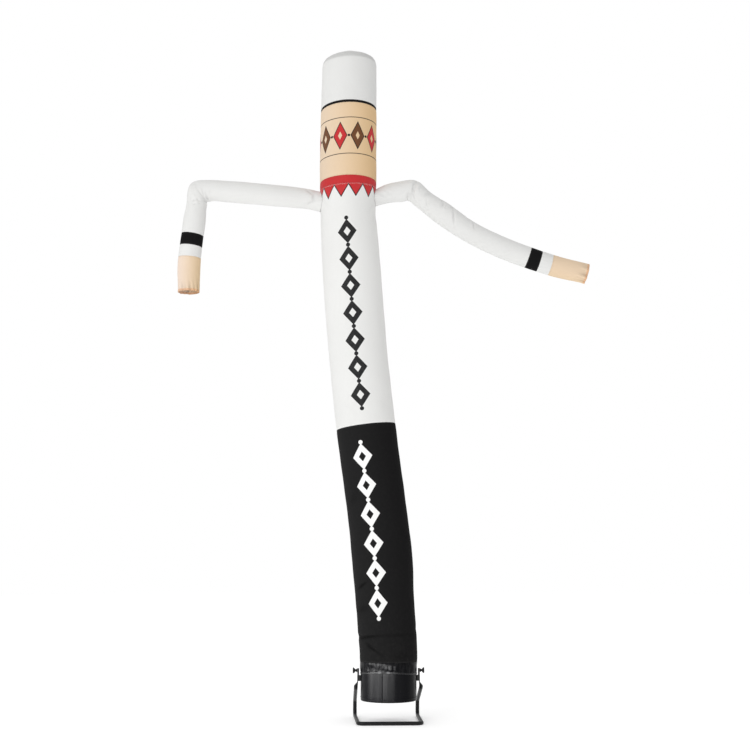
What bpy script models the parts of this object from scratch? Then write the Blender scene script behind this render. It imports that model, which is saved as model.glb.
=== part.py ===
"""An inflatable air dancer as it stands blown up: a sewn cloth tube with two arms, on a blower that
tilts in a stand of bent tube. Metres, +Z up, the front towards -Y, and the origin on the floor under
the blower's axis."""

import math
from collections import namedtuple

import bmesh
import bpy
import numpy as np

# Cloth
CLOTH = 0.0012  # thickness of the sewn cloth
CUFF_CLOTH = 0.0010
SEAM = 0.0003  # gap between two pieces that meet at a seam
COLUMNS = 28  # sides of the trunk, of the blower and of all that fits round it
ARM_COLUMNS = 18
TRUNK_ROW = 0.17  # height of a row of faces, where no crease asks for more
ARM_ROW = 0.12

# Seams up the trunk: the height on its axis, and how far each is sewn askew, up to the right and in front
Seam = namedtuple("Seam", "height rise front")
HEM = Seam(0.455, 0.0, 0.0)
WAIST_SEAM = Seam(2.285, 0.0, 0.0)
NECK_SEAM = Seam(4.2305, 0.0145, 0.0)
COLLAR_SEAM = Seam(4.2815, 0.0080, 0.0145)
TAPE_SEAM = Seam(4.8835, 0.010, 0.014)
HAT_SEAM = Seam(4.9045, 0.010, 0.014)
SHOULDER = Seam(5.254, 0.010, 0.0)  # where the hat begins to round in
CROWN = 5.381  # the highest point
SHOULDER_IN, SHOULDER_UP = 0.060, 0.095  # half axes of the hat's rounding
SHOULDER_TURN = math.radians(62)  # how far round it the crown is sewn on

# Arms: the pieces behind the hand, and the hole that each arm is set into
WRIST = 0.0955
ARMBAND = 0.098
ARM_DEPTH = 0.086  # half of the arm from front to back
ARMHOLE = 0.056

# Blower, cuff and strap
PIVOT = 0.385
DRUM_RADIUS, DRUM_WALL = 0.2165, 0.004
DRUM_BOTTOM, DRUM_TOP = 0.160, 0.446
LIP = 0.006  # how far the drum's bottom lip turns in
BEAD = 0.0015
CUFF_RADIUS = 0.2205
CUFF_WAIST = 0.0025  # how far the strap draws the cuff in
CUFF_TOP = 0.080  # the hem, at least this far above the strap's middle
STRAP_LOW, STRAP_RISE = 0.364, 0.022
STRAP_PEAK, STRAP_SPREAD = math.radians(-12), math.radians(52)
STRAP_HALF, STRAP_CLOTH = 0.006, 0.0018
BUCKLE_HALF, BUCKLE_METAL = 0.008, 0.003
GUARD_RINGS = (0.2069, 0.167, 0.127, 0.087)
GUARD_WIRE, GUARD_HEIGHT, GUARD_HUB = 0.0066, 0.004, 0.050
GUARD_BOTTOM = 0.164

# Pivots, measured out from the middle
BRACKET_IN, BRACKET_PLATE, BRACKET_OUT = 0.2168, 0.2290, 0.2367
BRACKET_HALF, BRACKET_BOTTOM, BRACKET_STEP = 0.020, 0.306, 0.349
EAR_IN, EAR_OUT, EAR_HALF, EAR_BOTTOM = 0.2370, 0.2430, 0.017, 0.262
STUD_RADIUS, BRACKET_HOLE, EAR_HOLE = 0.0060, 0.0064, 0.0066
STUD_IN, COLLAR_IN, COLLAR_OUT, WING_IN, WING_OUT = 0.2300, 0.2433, 0.2500, 0.2590, 0.2780
COLLAR_RADIUS, STEM_RADIUS = 0.0135, 0.0085
WING_HALF, WING_THICK = 0.026, 0.010
WING_TURNS = {"left": math.radians(4), "right": math.radians(-17)}

# Stand
TUBE_RADIUS = 0.015
TUBE_FLAT = 0.0012  # worn and pressed flat where the tube lies on the floor
FOOT_HEIGHT = TUBE_RADIUS - TUBE_FLAT

Section = namedtuple("Section", "height side back radius")
TRUNK = [
    Section(0.40, 0.000, 0.000, 0.2222),
    Section(0.46, 0.000, 0.000, 0.2226),
    Section(0.51, 0.000, 0.000, 0.2235),
    Section(0.65, -0.008, 0.001, 0.2272),
    Section(0.95, -0.030, 0.008, 0.2290),
    Section(1.22, -0.045, 0.019, 0.2385),
    Section(1.45, -0.068, 0.030, 0.2360),
    Section(1.90, -0.125, 0.050, 0.2355),
    Section(2.30, -0.177, 0.062, 0.2375),
    Section(2.80, -0.231, 0.064, 0.2355),
    Section(3.35, -0.278, 0.055, 0.2370),
    Section(3.70, -0.302, 0.043, 0.2345),
    Section(4.07, -0.325, 0.030, 0.2265),
    Section(4.30, -0.325, 0.024, 0.2310),
    Section(4.75, -0.323, 0.017, 0.2300),
    Section(5.25, -0.317, 0.014, 0.2255),
    Section(5.45, -0.315, 0.014, 0.2255),
]

# The middle of the arm from inside the torso on, which way it runs there (0 is to the right, 90 is up),
# and half its width
Bend = namedtuple("Bend", "side height back run width")
LEFT_ARM = [
    Bend(-0.498, 4.116, 0.028, 168, 0.0840),
    Bend(-0.557, 4.129, 0.027, 168, 0.0815),
    Bend(-0.640, 4.147, 0.025, 170, 0.0795),
    Bend(-0.740, 4.158, 0.022, 174, 0.0840),
    Bend(-0.950, 4.174, 0.014, 176, 0.0870),
    Bend(-1.280, 4.196, 0.004, 177, 0.0868),
    Bend(-1.450, 4.202, 0.000, 184, 0.0865),
    Bend(-1.536, 4.185, -0.002, 220, 0.0990),
    Bend(-1.552, 4.092, -0.004, 260, 0.0830),
    Bend(-1.568, 3.946, -0.008, 263, 0.0905),
    Bend(-1.584, 3.800, -0.012, 262, 0.0892),
    Bend(-1.600, 3.640, -0.016, 266, 0.0910),
    Bend(-1.602, 3.354, -0.022, 270, 0.0875),
]
RIGHT_ARM = [
    Bend(-0.148, 4.146, 0.028, 21, 0.0620),
    Bend(-0.090, 4.168, 0.028, 21, 0.0635),
    Bend(0.000, 4.202, 0.026, 16, 0.0750),
    Bend(0.100, 4.219, 0.023, 6, 0.0835),
    Bend(0.202, 4.228, 0.020, -19, 0.0900),
    Bend(0.288, 4.157, 0.017, -40, 0.0820),
    Bend(0.446, 4.040, 0.012, -37, 0.0930),
    Bend(0.672, 3.882, 0.005, -31, 0.0870),
    Bend(1.018, 3.717, -0.006, -22, 0.0875),
    Bend(1.238, 3.637, -0.013, -17, 0.0860),
    Bend(1.333, 3.606, -0.016, -15, 0.0850),
    Bend(1.618, 3.535, -0.026, -14, 0.0815),
]

# Creases: where (a height, or the way along an arm), facing (degrees), how deep, half its size along
# and round, and how far it climbs for each radian round
Crease = namedtuple("Crease", "at facing depth along around slant")
TRUNK_CREASES = [
    Crease(0.655, -72, 0.012, 0.020, 24, 0.00),
    Crease(0.690, 96, 0.005, 0.024, 20, 0.02),
    Crease(0.560, -38, 0.006, 0.022, 15, -0.14),
    Crease(0.860, -64, 0.004, 0.030, 26, 0.05),
    Crease(3.985, 82, 0.005, 0.045, 20, 0.10),
    Crease(4.000, -80, 0.004, 0.050, 18, -0.10),
]
LEFT_CREASES = [
    Crease(0.990, 150, 0.010, 0.016, 34, 0.00),
    Crease(1.045, 88, 0.007, 0.014, 50, 0.01),
    Crease(1.100, 172, 0.010, 0.016, 30, 0.00),
    Crease(0.120, 40, 0.004, 0.030, 26, 0.05),
]
RIGHT_CREASES = [
    Crease(0.365, 84, 0.009, 0.014, 66, 0.00),
    Crease(0.335, 176, 0.008, 0.014, 34, 0.00),
    Crease(0.485, 58, 0.006, 0.018, 26, -0.03),
    Crease(0.600, 34, 0.006, 0.024, 22, 0.07),
    Crease(0.720, 28, 0.005, 0.022, 24, -0.05),
]
Arm = namedtuple("Arm", "name outward hand bends creases")
ARMS = [
    Arm("left", -1, 0.284, LEFT_ARM, LEFT_CREASES),
    Arm("right", 1, 0.302, RIGHT_ARM, RIGHT_CREASES),
]

# The stand's tube from its right ear to its left one, with the radius of each bend
Corner = namedtuple("Corner", "side back height bend")
STAND = [
    Corner(0.2535, 0.000, 0.298, 0.0),
    Corner(0.2535, 0.004, 0.262, 0.050),
    Corner(0.2430, 0.262, 0.128, 0.050),
    Corner(0.2430, 0.275, FOOT_HEIGHT, 0.042),
    Corner(0.2410, -0.237, FOOT_HEIGHT, 0.045),
    Corner(-0.2410, -0.237, FOOT_HEIGHT, 0.045),
    Corner(-0.2535, 0.275, FOOT_HEIGHT, 0.042),
    Corner(-0.2535, 0.262, 0.128, 0.050),
    Corner(-0.2535, 0.004, 0.262, 0.050),
    Corner(-0.2535, 0.000, 0.298, 0.0),
]
BEND_STEPS = 5

# Rows of the cuff: how far above the strap's middle, how far drawn in, and how deep its slow waves are
CUFF_ROWS = [
    (-0.0100, 0.0022, 0.0000),
    (-0.0072, CUFF_WAIST, 0.0000),
    (0.0072, CUFF_WAIST, 0.0000),
    (0.0200, 0.0002, 0.0010),
    (0.0450, -0.0004, 0.0012),
    (CUFF_TOP, -0.0021, 0.0000),
]

CLOTHS = {
    "white": ((0.82, 0.82, 0.80), 0.55),
    "black": ((0.018, 0.018, 0.020), 0.60),
    "skin": ((0.72, 0.51, 0.30), 0.55),
    "red": ((0.52, 0.025, 0.025), 0.55),
    "vinyl": ((0.012, 0.012, 0.013), 0.30),
}


def clear_scene():
    for thing in list(bpy.data.objects):
        bpy.data.objects.remove(thing, do_unlink=True)


def new_collection(name):
    collection = bpy.data.collections.new(name)
    bpy.context.scene.collection.children.link(collection)
    return collection


def paint(thing, colour, roughness, metallic=0.0):
    material = bpy.data.materials.new(thing.name)
    material.use_nodes = True
    shader = material.node_tree.nodes["Principled BSDF"]
    shader.inputs["Base Color"].default_value = (*colour, 1.0)
    shader.inputs["Roughness"].default_value = roughness
    shader.inputs["Metallic"].default_value = metallic
    thing.data.materials.clear()
    thing.data.materials.append(material)


def place(thing, cutter=False):
    """Files an object in the collection of the parts or of the cutters."""
    for collection in list(thing.users_collection):
        collection.objects.unlink(thing)
    (cutters if cutter else parts).objects.link(thing)
    if cutter:
        thing.hide_render = True
        thing.display_type = "WIRE"
    return thing


def smooth(thing, degrees=35):
    thing.data.shade_smooth()
    thing.data.set_sharp_from_angle(angle=math.radians(degrees))


def cut(thing, tool, operation="DIFFERENCE"):
    boolean = thing.modifiers.new(tool.name, "BOOLEAN")
    boolean.operation = operation
    boolean.solver = "EXACT"
    boolean.object = tool


def along(table, knots, at):
    """The table's columns as smooth curves of the knots, and their slopes, read at the given places."""
    values = np.array(table, float)
    slopes = np.gradient(values, knots, axis=0)
    k = np.clip(np.searchsorted(knots, at, side="right") - 1, 0, len(knots) - 2)
    span = (knots[k + 1] - knots[k])[:, None]
    t = (at - knots[k])[:, None] / span
    low, high, leave, arrive = values[k], values[k + 1], slopes[k] * span, slopes[k + 1] * span
    bend = 3 * (high - low) - 2 * leave - arrive
    twist = 2 * (low - high) + leave + arrive
    return low + leave * t + bend * t**2 + twist * t**3, (leave + 2 * bend * t + 3 * twist * t**2) / span


def crease_depth(creases, at, facing):
    """How far the creases draw the cloth in: soft troughs, bell-shaped along and around."""
    depth = np.zeros(np.broadcast(at, facing).shape)
    for crease in creases:
        round_it = (facing - math.radians(crease.facing) + math.pi) % (2 * math.pi) - math.pi
        up = at - crease.at - crease.slant * round_it
        spread = (up / crease.along) ** 2 + (round_it / math.radians(crease.around)) ** 2
        depth += crease.depth * np.exp(-spread)
    return depth


def row_places(start, end, spacing, creases):
    """Even rows from start to end, with a row in the middle and at both sides of each deeper crease."""
    even = np.linspace(start, end, max(2, round((end - start) / spacing) + 1))
    wanted = [c.at + k * c.along for c in creases if c.depth >= 0.006 for k in (-1.5, 0, 1.5)]
    kept = [p for p in wanted if start + 0.012 < p < end - 0.012]
    clear = [p for p in even[1:-1] if all(abs(p - q) > 0.3 * spacing for q in kept)]
    return np.array(sorted([start, end, *kept, *clear]))


def trunk_ring(heights, radii, facing):
    """Points round the trunk's axis, in rings square to it. facing is 0 in front and grows to the right."""
    heights, radii, facing = (a[..., None] for a in np.broadcast_arrays(heights, radii, facing))
    knots = np.array([section.height for section in TRUNK])
    flat, slope = along([section[1:3] for section in TRUNK], knots, heights.ravel())
    shape = (*heights.shape[:-1], 2)
    middle = np.concatenate([flat.reshape(shape), heights], axis=-1)
    run = np.concatenate([slope.reshape(shape), np.ones_like(heights)], axis=-1)
    run /= np.linalg.norm(run, axis=-1, keepdims=True)
    across = np.array([1.0, 0.0, 0.0]) - run * run[..., :1]
    across /= np.linalg.norm(across, axis=-1, keepdims=True)
    rearward = np.cross(run, across)
    return middle + radii * (np.sin(facing) * across - np.cos(facing) * rearward)


def trunk_radius(heights):
    knots = np.array([section.height for section in TRUNK])
    return along([section[3:] for section in TRUNK], knots, np.ravel(heights))[0].reshape(np.shape(heights))


def arm_reach(arm):
    """How far along the arm each of its bends lies."""
    middles = np.array([(bend.side, bend.back, bend.height) for bend in arm.bends])
    return np.concatenate([[0], np.cumsum(np.linalg.norm(np.diff(middles, axis=0), axis=1))])


def arm_ring(arm, reach, facing):
    """Points round the arm, in rings square to its run. facing is 0 outside its bend and 90 in front."""
    reach, facing = np.broadcast_arrays(reach, facing)
    values, _ = along(arm.bends, arm_reach(arm), reach.ravel())
    side, height, back, run, width = values.T.reshape(5, *reach.shape)
    run = np.radians(run)
    depth = crease_depth(arm.creases, reach, facing)
    up = arm.outward * (width - depth) * np.cos(facing)
    ahead = (ARM_DEPTH - depth) * np.sin(facing)
    return np.stack([side - up * np.sin(run), back - ahead, height + up * np.cos(run)], axis=-1)


def grid_mesh(name, points, wrapped):
    """A sheet of four-sided faces on a grid of points, which may close round its columns."""
    rows, columns = points.shape[:2]
    corner = np.arange(rows * columns).reshape(rows, columns)
    following = np.roll(corner, -1, axis=1)
    faces = np.stack([corner[:-1], following[:-1], following[1:], corner[1:]], axis=-1)
    faces = faces if wrapped else faces[:, :-1]
    mesh = bpy.data.meshes.new(name)
    mesh.from_pydata(points.reshape(-1, 3).tolist(), [], faces.reshape(-1, 4).tolist())
    return mesh


def sheet(name, points, colour, thickness=CLOTH, wrapped=True):
    """Cloth on a grid of points, carried by the blower, with its thickness turned inwards."""
    points = points - np.array([0.0, 0.0, PIVOT])
    thing = bpy.data.objects.new(name, grid_mesh(name, points, wrapped))
    parts.objects.link(thing)
    thing.parent = tilt_axis
    smooth(thing, 60)
    wall = thing.modifiers.new("Thickness", "SOLIDIFY")
    wall.thickness = thickness
    wall.offset = -1
    paint(thing, *CLOTHS[colour])
    return thing


def around(columns):
    return np.arange(columns) * 2 * math.pi / columns


def askew(rows, bottom, top, facing):
    """Rows of heights between two seams, tipped as the seams are sewn."""
    reach = (bottom.height, top.height)
    rise = np.interp(rows, reach, (bottom.rise, top.rise))
    front = np.interp(rows, reach, (bottom.front, top.front))
    return rows + rise * np.sin(facing) + front * np.cos(facing)


def trunk_grid(bottom, top, clearance=0.0):
    """Points on a length of the trunk between two seams."""
    rows = row_places(bottom.height + SEAM / 2, top.height - SEAM / 2, TRUNK_ROW, TRUNK_CREASES)[:, None]
    facing = around(COLUMNS)[None, :]
    heights = askew(rows, bottom, top, facing)
    radii = trunk_radius(heights) - crease_depth(TRUNK_CREASES, heights, facing)
    return trunk_ring(heights, radii + clearance, facing)


def make_trunk():
    sheet("lower_panel", trunk_grid(HEM, WAIST_SEAM), "black")
    torso = sheet("torso_panel", trunk_grid(WAIST_SEAM, NECK_SEAM), "white")
    sheet("neck_band", trunk_grid(NECK_SEAM, COLLAR_SEAM), "red")
    sheet("head_panel", trunk_grid(COLLAR_SEAM, TAPE_SEAM), "skin")
    sheet("hat_tape", trunk_grid(TAPE_SEAM, HAT_SEAM), "black")
    for arm in ARMS:
        cut(torso, armhole(arm))


def make_torso_core():
    """The torso as if it were solid, and a seam's gap larger: each sleeve is cut to stand on it."""
    mesh = grid_mesh("torso_core", trunk_grid(WAIST_SEAM, NECK_SEAM, SEAM), True)
    shell = bmesh.new()
    shell.from_mesh(mesh)
    bmesh.ops.holes_fill(shell, edges=[edge for edge in shell.edges if edge.is_boundary])
    bmesh.ops.recalc_face_normals(shell, faces=shell.faces)
    shell.to_mesh(mesh)
    shell.free()
    core = bpy.data.objects.new("torso_core", mesh)
    parts.objects.link(core)
    return place(core, cutter=True)


def armhole(arm):
    root = arm.bends[1]
    bpy.ops.mesh.primitive_cylinder_add(vertices=20, radius=ARMHOLE, depth=0.12)
    hole = bpy.context.object
    hole.name = arm.name + "_armhole"
    hole.rotation_euler = (0, math.radians(90), 0)
    hole.location = (root.side, root.back, root.height)
    return place(hole, cutter=True)


def make_hat():
    """The hat's tube, straight and then rounded in by a quarter of an ellipse, and the crown sewn on it."""
    straight = np.linspace(HAT_SEAM.height + SEAM / 2, SHOULDER.height, 3)
    turns = np.linspace(0, SHOULDER_TURN, 5)[1:]
    heights = np.concatenate([straight, SHOULDER.height + SHOULDER_UP * np.sin(turns)])
    drawn_in = np.concatenate([np.zeros(3), SHOULDER_IN * (1 - np.cos(turns))])
    radii = trunk_radius(np.minimum(heights, SHOULDER.height)) - drawn_in
    facing = around(COLUMNS)[None, :]
    side = trunk_ring(askew(heights[:, None], HAT_SEAM, SHOULDER, facing), radii[:, None], facing)
    sheet("hat_side", side, "white")

    rim_height, rim_radius = heights[-1] + 2 * SEAM, radii[-1] - 2 * SEAM
    shares = np.linspace(0, 1, 6)[:, None]
    dome_heights = rim_height + (CROWN - rim_height) * (1 - (1 - shares) ** 2)
    dome_heights = dome_heights + SHOULDER.rise * (1 - shares) * np.sin(facing)
    crown = sheet("hat_crown", trunk_ring(dome_heights, rim_radius * (1 - shares), facing), "white")
    dome = bmesh.new()
    dome.from_mesh(crown.data)
    bmesh.ops.remove_doubles(dome, verts=dome.verts, dist=1e-5)
    dome.to_mesh(crown.data)
    dome.free()
    smooth(crown, 60)


def make_arm(arm, torso_core):
    end = arm_reach(arm)[-1]
    facing = around(ARM_COLUMNS)[:: arm.outward][None, :]
    hem = end - arm.hand
    seams = [0, hem - WRIST - ARMBAND, hem - WRIST, hem, end]
    pieces = [("sleeve", "white"), ("armband", "black"), ("wrist", "white"), ("hand", "skin")]
    for (piece, colour), start, stop in zip(pieces, seams, seams[1:]):
        start += SEAM / 2 if start else 0
        rows = row_places(start, stop - SEAM / 2, ARM_ROW, arm.creases)[:, None]
        cloth = sheet(f"{arm.name}_{piece}", arm_ring(arm, rows, facing), colour)
        if piece == "sleeve":
            cut(cloth, torso_core)


def strap_height(facing):
    """The strap's middle: low at the sides and behind, and pulled up towards its buckle in front."""
    off = (facing - STRAP_PEAK + math.pi) % (2 * math.pi) - math.pi
    return STRAP_LOW + STRAP_RISE * np.exp(-((off / STRAP_SPREAD) ** 2))


def make_cuff():
    """The cuff hangs from the hem in slow waves, which the strap flattens and its edge follows."""
    facing = around(COLUMNS)[None, :]
    strap = strap_height(facing)
    off, drawn_in, waves = (np.array(column)[:, None] for column in zip(*CUFF_ROWS))
    share = (off / CUFF_TOP) ** 2 * (off > 0)
    heights = (strap + off) * (1 - share) + (HEM.height - SEAM / 2) * share
    radii = CUFF_RADIUS - drawn_in + waves * np.sin(5 * facing + 90 * off)
    sheet("fan_cuff", trunk_ring(heights, radii, facing), "vinyl", CUFF_CLOTH)

    strap_radius = CUFF_RADIUS - CUFF_WAIST + SEAM + STRAP_CLOTH
    edges = np.array([-STRAP_HALF, STRAP_HALF])[:, None]
    strap_points = trunk_ring(strap + edges, np.full_like(strap + edges, strap_radius), facing)
    sheet("cinch_strap", strap_points, "vinyl", STRAP_CLOTH)

    turns = np.arange(-2, 1)[None, :] * 2 * math.pi / COLUMNS
    edges = np.array([-BUCKLE_HALF, BUCKLE_HALF])[:, None] + strap_height(STRAP_PEAK)
    plate = trunk_ring(edges, strap_radius + SEAM + BUCKLE_METAL + 0 * turns, turns)
    buckle = sheet("strap_buckle", plate, "vinyl", BUCKLE_METAL, wrapped=False)
    paint(buckle, (0.55, 0.55, 0.56), 0.3, 1.0)


def turned(name, outline, steps, axis="Z", ring=True):
    """An outline of (radius, place along the axis), closed if it makes a ring, turned about the axis."""
    points = [(r, 0, a) if axis == "Z" else (a, 0, r) for r, a in outline]
    count = len(points)
    edges = [(i, (i + 1) % count) for i in range(count if ring else count - 1)]
    mesh = bpy.data.meshes.new(name)
    mesh.from_pydata(points, edges, [])
    thing = bpy.data.objects.new(name, mesh)
    parts.objects.link(thing)
    screw = thing.modifiers.new("Turn", "SCREW")
    screw.axis = axis
    screw.steps = steps
    screw.render_steps = steps
    screw.use_merge_vertices = True
    screw.merge_threshold = 0.00005
    return thing


def box(name, low, high, bevel=0.0, cutter=True):
    bpy.ops.mesh.primitive_cube_add(size=1)
    thing = bpy.context.object
    thing.name = name
    thing.location = [(a + b) / 2 for a, b in zip(low, high)]
    for corner in thing.data.vertices:
        corner.co = [c * (b - a) for c, a, b in zip(corner.co, low, high)]
    if bevel:
        rounding = thing.modifiers.new("Rounding", "BEVEL")
        rounding.width = bevel
        rounding.segments = 2
    return place(thing, cutter=cutter)


def round_ended_plate(name, middle, thickness, bottom):
    """An upright plate, square to X, with its upper end rounded about the pivot."""
    arc = np.linspace(0, math.pi, 13)
    outline = [(EAR_HALF * math.cos(a), PIVOT + EAR_HALF * math.sin(a)) for a in arc]
    outline += [(-EAR_HALF, bottom), (EAR_HALF, bottom)]
    mesh = bpy.data.meshes.new(name)
    mesh.from_pydata([(middle, y, z) for y, z in outline], [], [range(len(outline))])
    plate = bpy.data.objects.new(name, mesh)
    parts.objects.link(plate)
    wall = plate.modifiers.new("Thickness", "SOLIDIFY")
    wall.thickness = thickness
    wall.offset = 0
    return place(plate, cutter=True)


def pin(name, radius, start, stop, height, vertices=20):
    """A cylinder along X, used to join or to cut."""
    bpy.ops.mesh.primitive_cylinder_add(vertices=vertices, radius=radius, depth=abs(stop - start))
    thing = bpy.context.object
    thing.name = name
    thing.rotation_euler = (0, math.radians(90), 0)
    thing.location = ((start + stop) / 2, 0, height)
    return place(thing, cutter=True)


def make_drum():
    """The drum is a thin turned wall with a bead near its foot and a rolled lip."""
    inner = DRUM_RADIUS - DRUM_WALL
    outline = [
        (DRUM_RADIUS, DRUM_TOP),
        (DRUM_RADIUS, DRUM_BOTTOM + 0.034),
        (DRUM_RADIUS + BEAD, DRUM_BOTTOM + 0.030),
        (DRUM_RADIUS + BEAD, DRUM_BOTTOM + 0.024),
        (DRUM_RADIUS, DRUM_BOTTOM + 0.020),
        (DRUM_RADIUS, DRUM_BOTTOM + 0.006),
        (DRUM_RADIUS - 0.0018, DRUM_BOTTOM + 0.0018),
        (DRUM_RADIUS - LIP, DRUM_BOTTOM),
        (DRUM_RADIUS - LIP, DRUM_BOTTOM + 0.010),
        (inner, DRUM_BOTTOM + 0.014),
        (inner, DRUM_TOP),
    ]
    outline = [(r, z - PIVOT) for r, z in outline]
    drum = turned("blower_drum", outline, COLUMNS)
    drum.parent = tilt_axis
    smooth(drum)
    paint(drum, (0.015, 0.015, 0.017), 0.22)


def guard_ring(name, radius, steps):
    """A flat ring of square wire, turned about the blower's axis."""
    outer, inner = radius + GUARD_WIRE / 2, radius - GUARD_WIRE / 2
    low, high = GUARD_BOTTOM - PIVOT, GUARD_BOTTOM - PIVOT + GUARD_HEIGHT
    ring = turned(name, [(outer, high), (outer, low), (inner, low), (inner, high)], steps)
    ring.parent = tilt_axis
    return ring


def make_guard():
    """Flat rings on two crossed bars, with a plain round plate in the middle."""
    outer, *others = GUARD_RINGS
    middle = GUARD_BOTTOM + GUARD_HEIGHT / 2
    guard = guard_ring("intake_guard", outer, COLUMNS)
    for n, radius in enumerate(others):
        cut(guard, place(guard_ring(f"guard_ring_{n}", radius, 20), cutter=True), "UNION")
    for n, turn in enumerate((45, 135)):
        half = GUARD_HEIGHT / 2 - 0.0005
        corner = np.array((outer, GUARD_WIRE / 2, half))
        bar = box(f"guard_bar_{n}", -corner, corner)
        bar.location.z = middle
        bar.rotation_euler = (0, 0, math.radians(turn))
        cut(guard, bar, "UNION")
    bpy.ops.mesh.primitive_cylinder_add(vertices=24, radius=GUARD_HUB, depth=GUARD_HEIGHT - 0.0006)
    hub = bpy.context.object
    hub.name = "guard_hub"
    hub.location.z = middle
    cut(guard, place(hub, cutter=True), "UNION")
    paint(guard, (0.03, 0.03, 0.032), 0.45, 0.6)


def make_bracket(name, outward):
    """A block on the drum, with a plate that rises clear of the cuff to the pivot."""
    low, high = sorted((outward * BRACKET_IN, outward * BRACKET_OUT))
    start, stop = (low, -BRACKET_HALF, BRACKET_BOTTOM), (high, BRACKET_HALF, BRACKET_STEP)
    bracket = box(name + "_bracket", start, stop, 0.0015, cutter=False)
    inner, outer = BRACKET_PLATE, BRACKET_OUT - 0.0002
    middle = outward * (inner + outer) / 2
    cut(bracket, round_ended_plate(name + "_plate", middle, outer - inner, BRACKET_STEP - 0.01), "UNION")
    cut(bracket, pin(name + "_stud_hole", BRACKET_HOLE, outward * 0.21, outward * 0.25, PIVOT))
    bracket.parent = tilt_axis
    bracket.location.z -= PIVOT
    smooth(bracket)
    paint(bracket, (0.02, 0.02, 0.021), 0.4, 0.5)


def make_knob(name, outward):
    """A threaded stud with a collar, and a wing to turn it by, modelled pointing to the right."""
    outline = [
        (STUD_RADIUS, STUD_IN),
        (STUD_RADIUS, COLLAR_IN),
        (COLLAR_RADIUS, COLLAR_IN),
        (COLLAR_RADIUS, COLLAR_OUT),
        (STEM_RADIUS, COLLAR_OUT + 0.003),
        (STEM_RADIUS, WING_IN + 0.004),
    ]
    outline = [(r, a - COLLAR_IN) for r, a in outline]
    closed = [(0.0, outline[-1][1]), *outline[::-1], (0.0, outline[0][1])]
    knob = turned(name + "_knob", closed, 16, axis="X", ring=False)
    start, stop = (WING_IN, -WING_THICK / 2, -WING_HALF), (WING_OUT, WING_THICK / 2, WING_HALF)
    wing = box(name + "_wing", start, stop, 0.003)
    for corner in wing.data.vertices:
        if corner.co.x < 0:
            corner.co.z *= 0.45
    wing.location.x -= COLLAR_IN
    wing.parent = knob
    cut(knob, wing, "UNION")
    knob.parent = tilt_axis
    knob.location.x = outward * COLLAR_IN
    knob.rotation_euler = (WING_TURNS[name], 0, 0 if outward > 0 else math.pi)
    smooth(knob)
    paint(knob, (0.012, 0.012, 0.012), 0.4)


def rounded_path(corners):
    """Points along straight runs whose corners are rounded by arcs of each corner's bend radius."""
    places = [np.array((c.side, c.back, c.height)) for c in corners]
    path = [places[0]]
    for before, here, after, corner in zip(places, places[1:], places[2:], corners[1:]):
        back, ahead = before - here, after - here
        back /= np.linalg.norm(back)
        ahead /= np.linalg.norm(ahead)
        half = math.acos(np.clip(back @ ahead, -1, 1)) / 2
        start, stop = (here + way * corner.bend / math.tan(half) for way in (back, ahead))
        middle = here + (back + ahead) / np.linalg.norm(back + ahead) * corner.bend / math.sin(half)
        sweep = math.pi - 2 * half
        for share in np.linspace(0, 1, BEND_STEPS + 1):
            a, b = math.sin((1 - share) * sweep), math.sin(share * sweep)
            path.append(middle + ((start - middle) * a + (stop - middle) * b) / math.sin(sweep))
    return [*path, places[-1]]


def make_stand():
    """One tube from ear to ear, down, back, along the floor and across the front, with flat upper ends."""
    path = rounded_path(STAND)
    curve = bpy.data.curves.new("stand_path", "CURVE")
    curve.dimensions = "3D"
    curve.bevel_depth = TUBE_RADIUS
    curve.bevel_resolution = 3
    curve.use_fill_caps = True
    spline = curve.splines.new("POLY")
    spline.points.add(len(path) - 1)
    for point, place_ in zip(spline.points, path):
        point.co = (*place_, 1)
    guide = bpy.data.objects.new("stand_path", curve)
    parts.objects.link(guide)
    bpy.context.view_layer.update()
    evaluated = guide.evaluated_get(bpy.context.evaluated_depsgraph_get())
    mesh = bpy.data.meshes.new_from_object(evaluated)
    shell = bmesh.new()
    shell.from_mesh(mesh)
    bmesh.ops.remove_doubles(shell, verts=shell.verts, dist=1e-5)
    shell.to_mesh(mesh)
    shell.free()
    stand = bpy.data.objects.new("stand_frame", mesh)
    stand.matrix_world = guide.matrix_world
    parts.objects.link(stand)
    bpy.data.objects.remove(guide)
    for arm in ARMS:
        middle = arm.outward * (EAR_IN + EAR_OUT) / 2
        cut(stand, round_ended_plate(arm.name + "_ear", middle, EAR_OUT - EAR_IN, EAR_BOTTOM), "UNION")
        cut(stand, pin(arm.name + "_ear_hole", EAR_HOLE, arm.outward * 0.22, arm.outward * 0.26, PIVOT))
    cut(stand, box("floor", (-0.4, -0.4, -0.05), (0.4, 0.4, 0.0)))
    smooth(stand)
    paint(stand, (0.012, 0.012, 0.013), 0.35)


clear_scene()
parts = new_collection("air_dancer")
cutters = new_collection("cutters")
tilt_axis = bpy.data.objects.new("tilt_axis", None)
tilt_axis.location = (0, 0, PIVOT)
parts.objects.link(tilt_axis)

make_stand()
make_drum()
make_guard()
make_cuff()
make_trunk()
make_hat()
torso_core = make_torso_core()
for arm in ARMS:
    make_arm(arm, torso_core)
    make_bracket(arm.name, arm.outward)
    make_knob(arm.name, arm.outward)
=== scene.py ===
# An inflatable air dancer on its tilting blower: fine cloth and finished metal over the fixed frame.
import math

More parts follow.
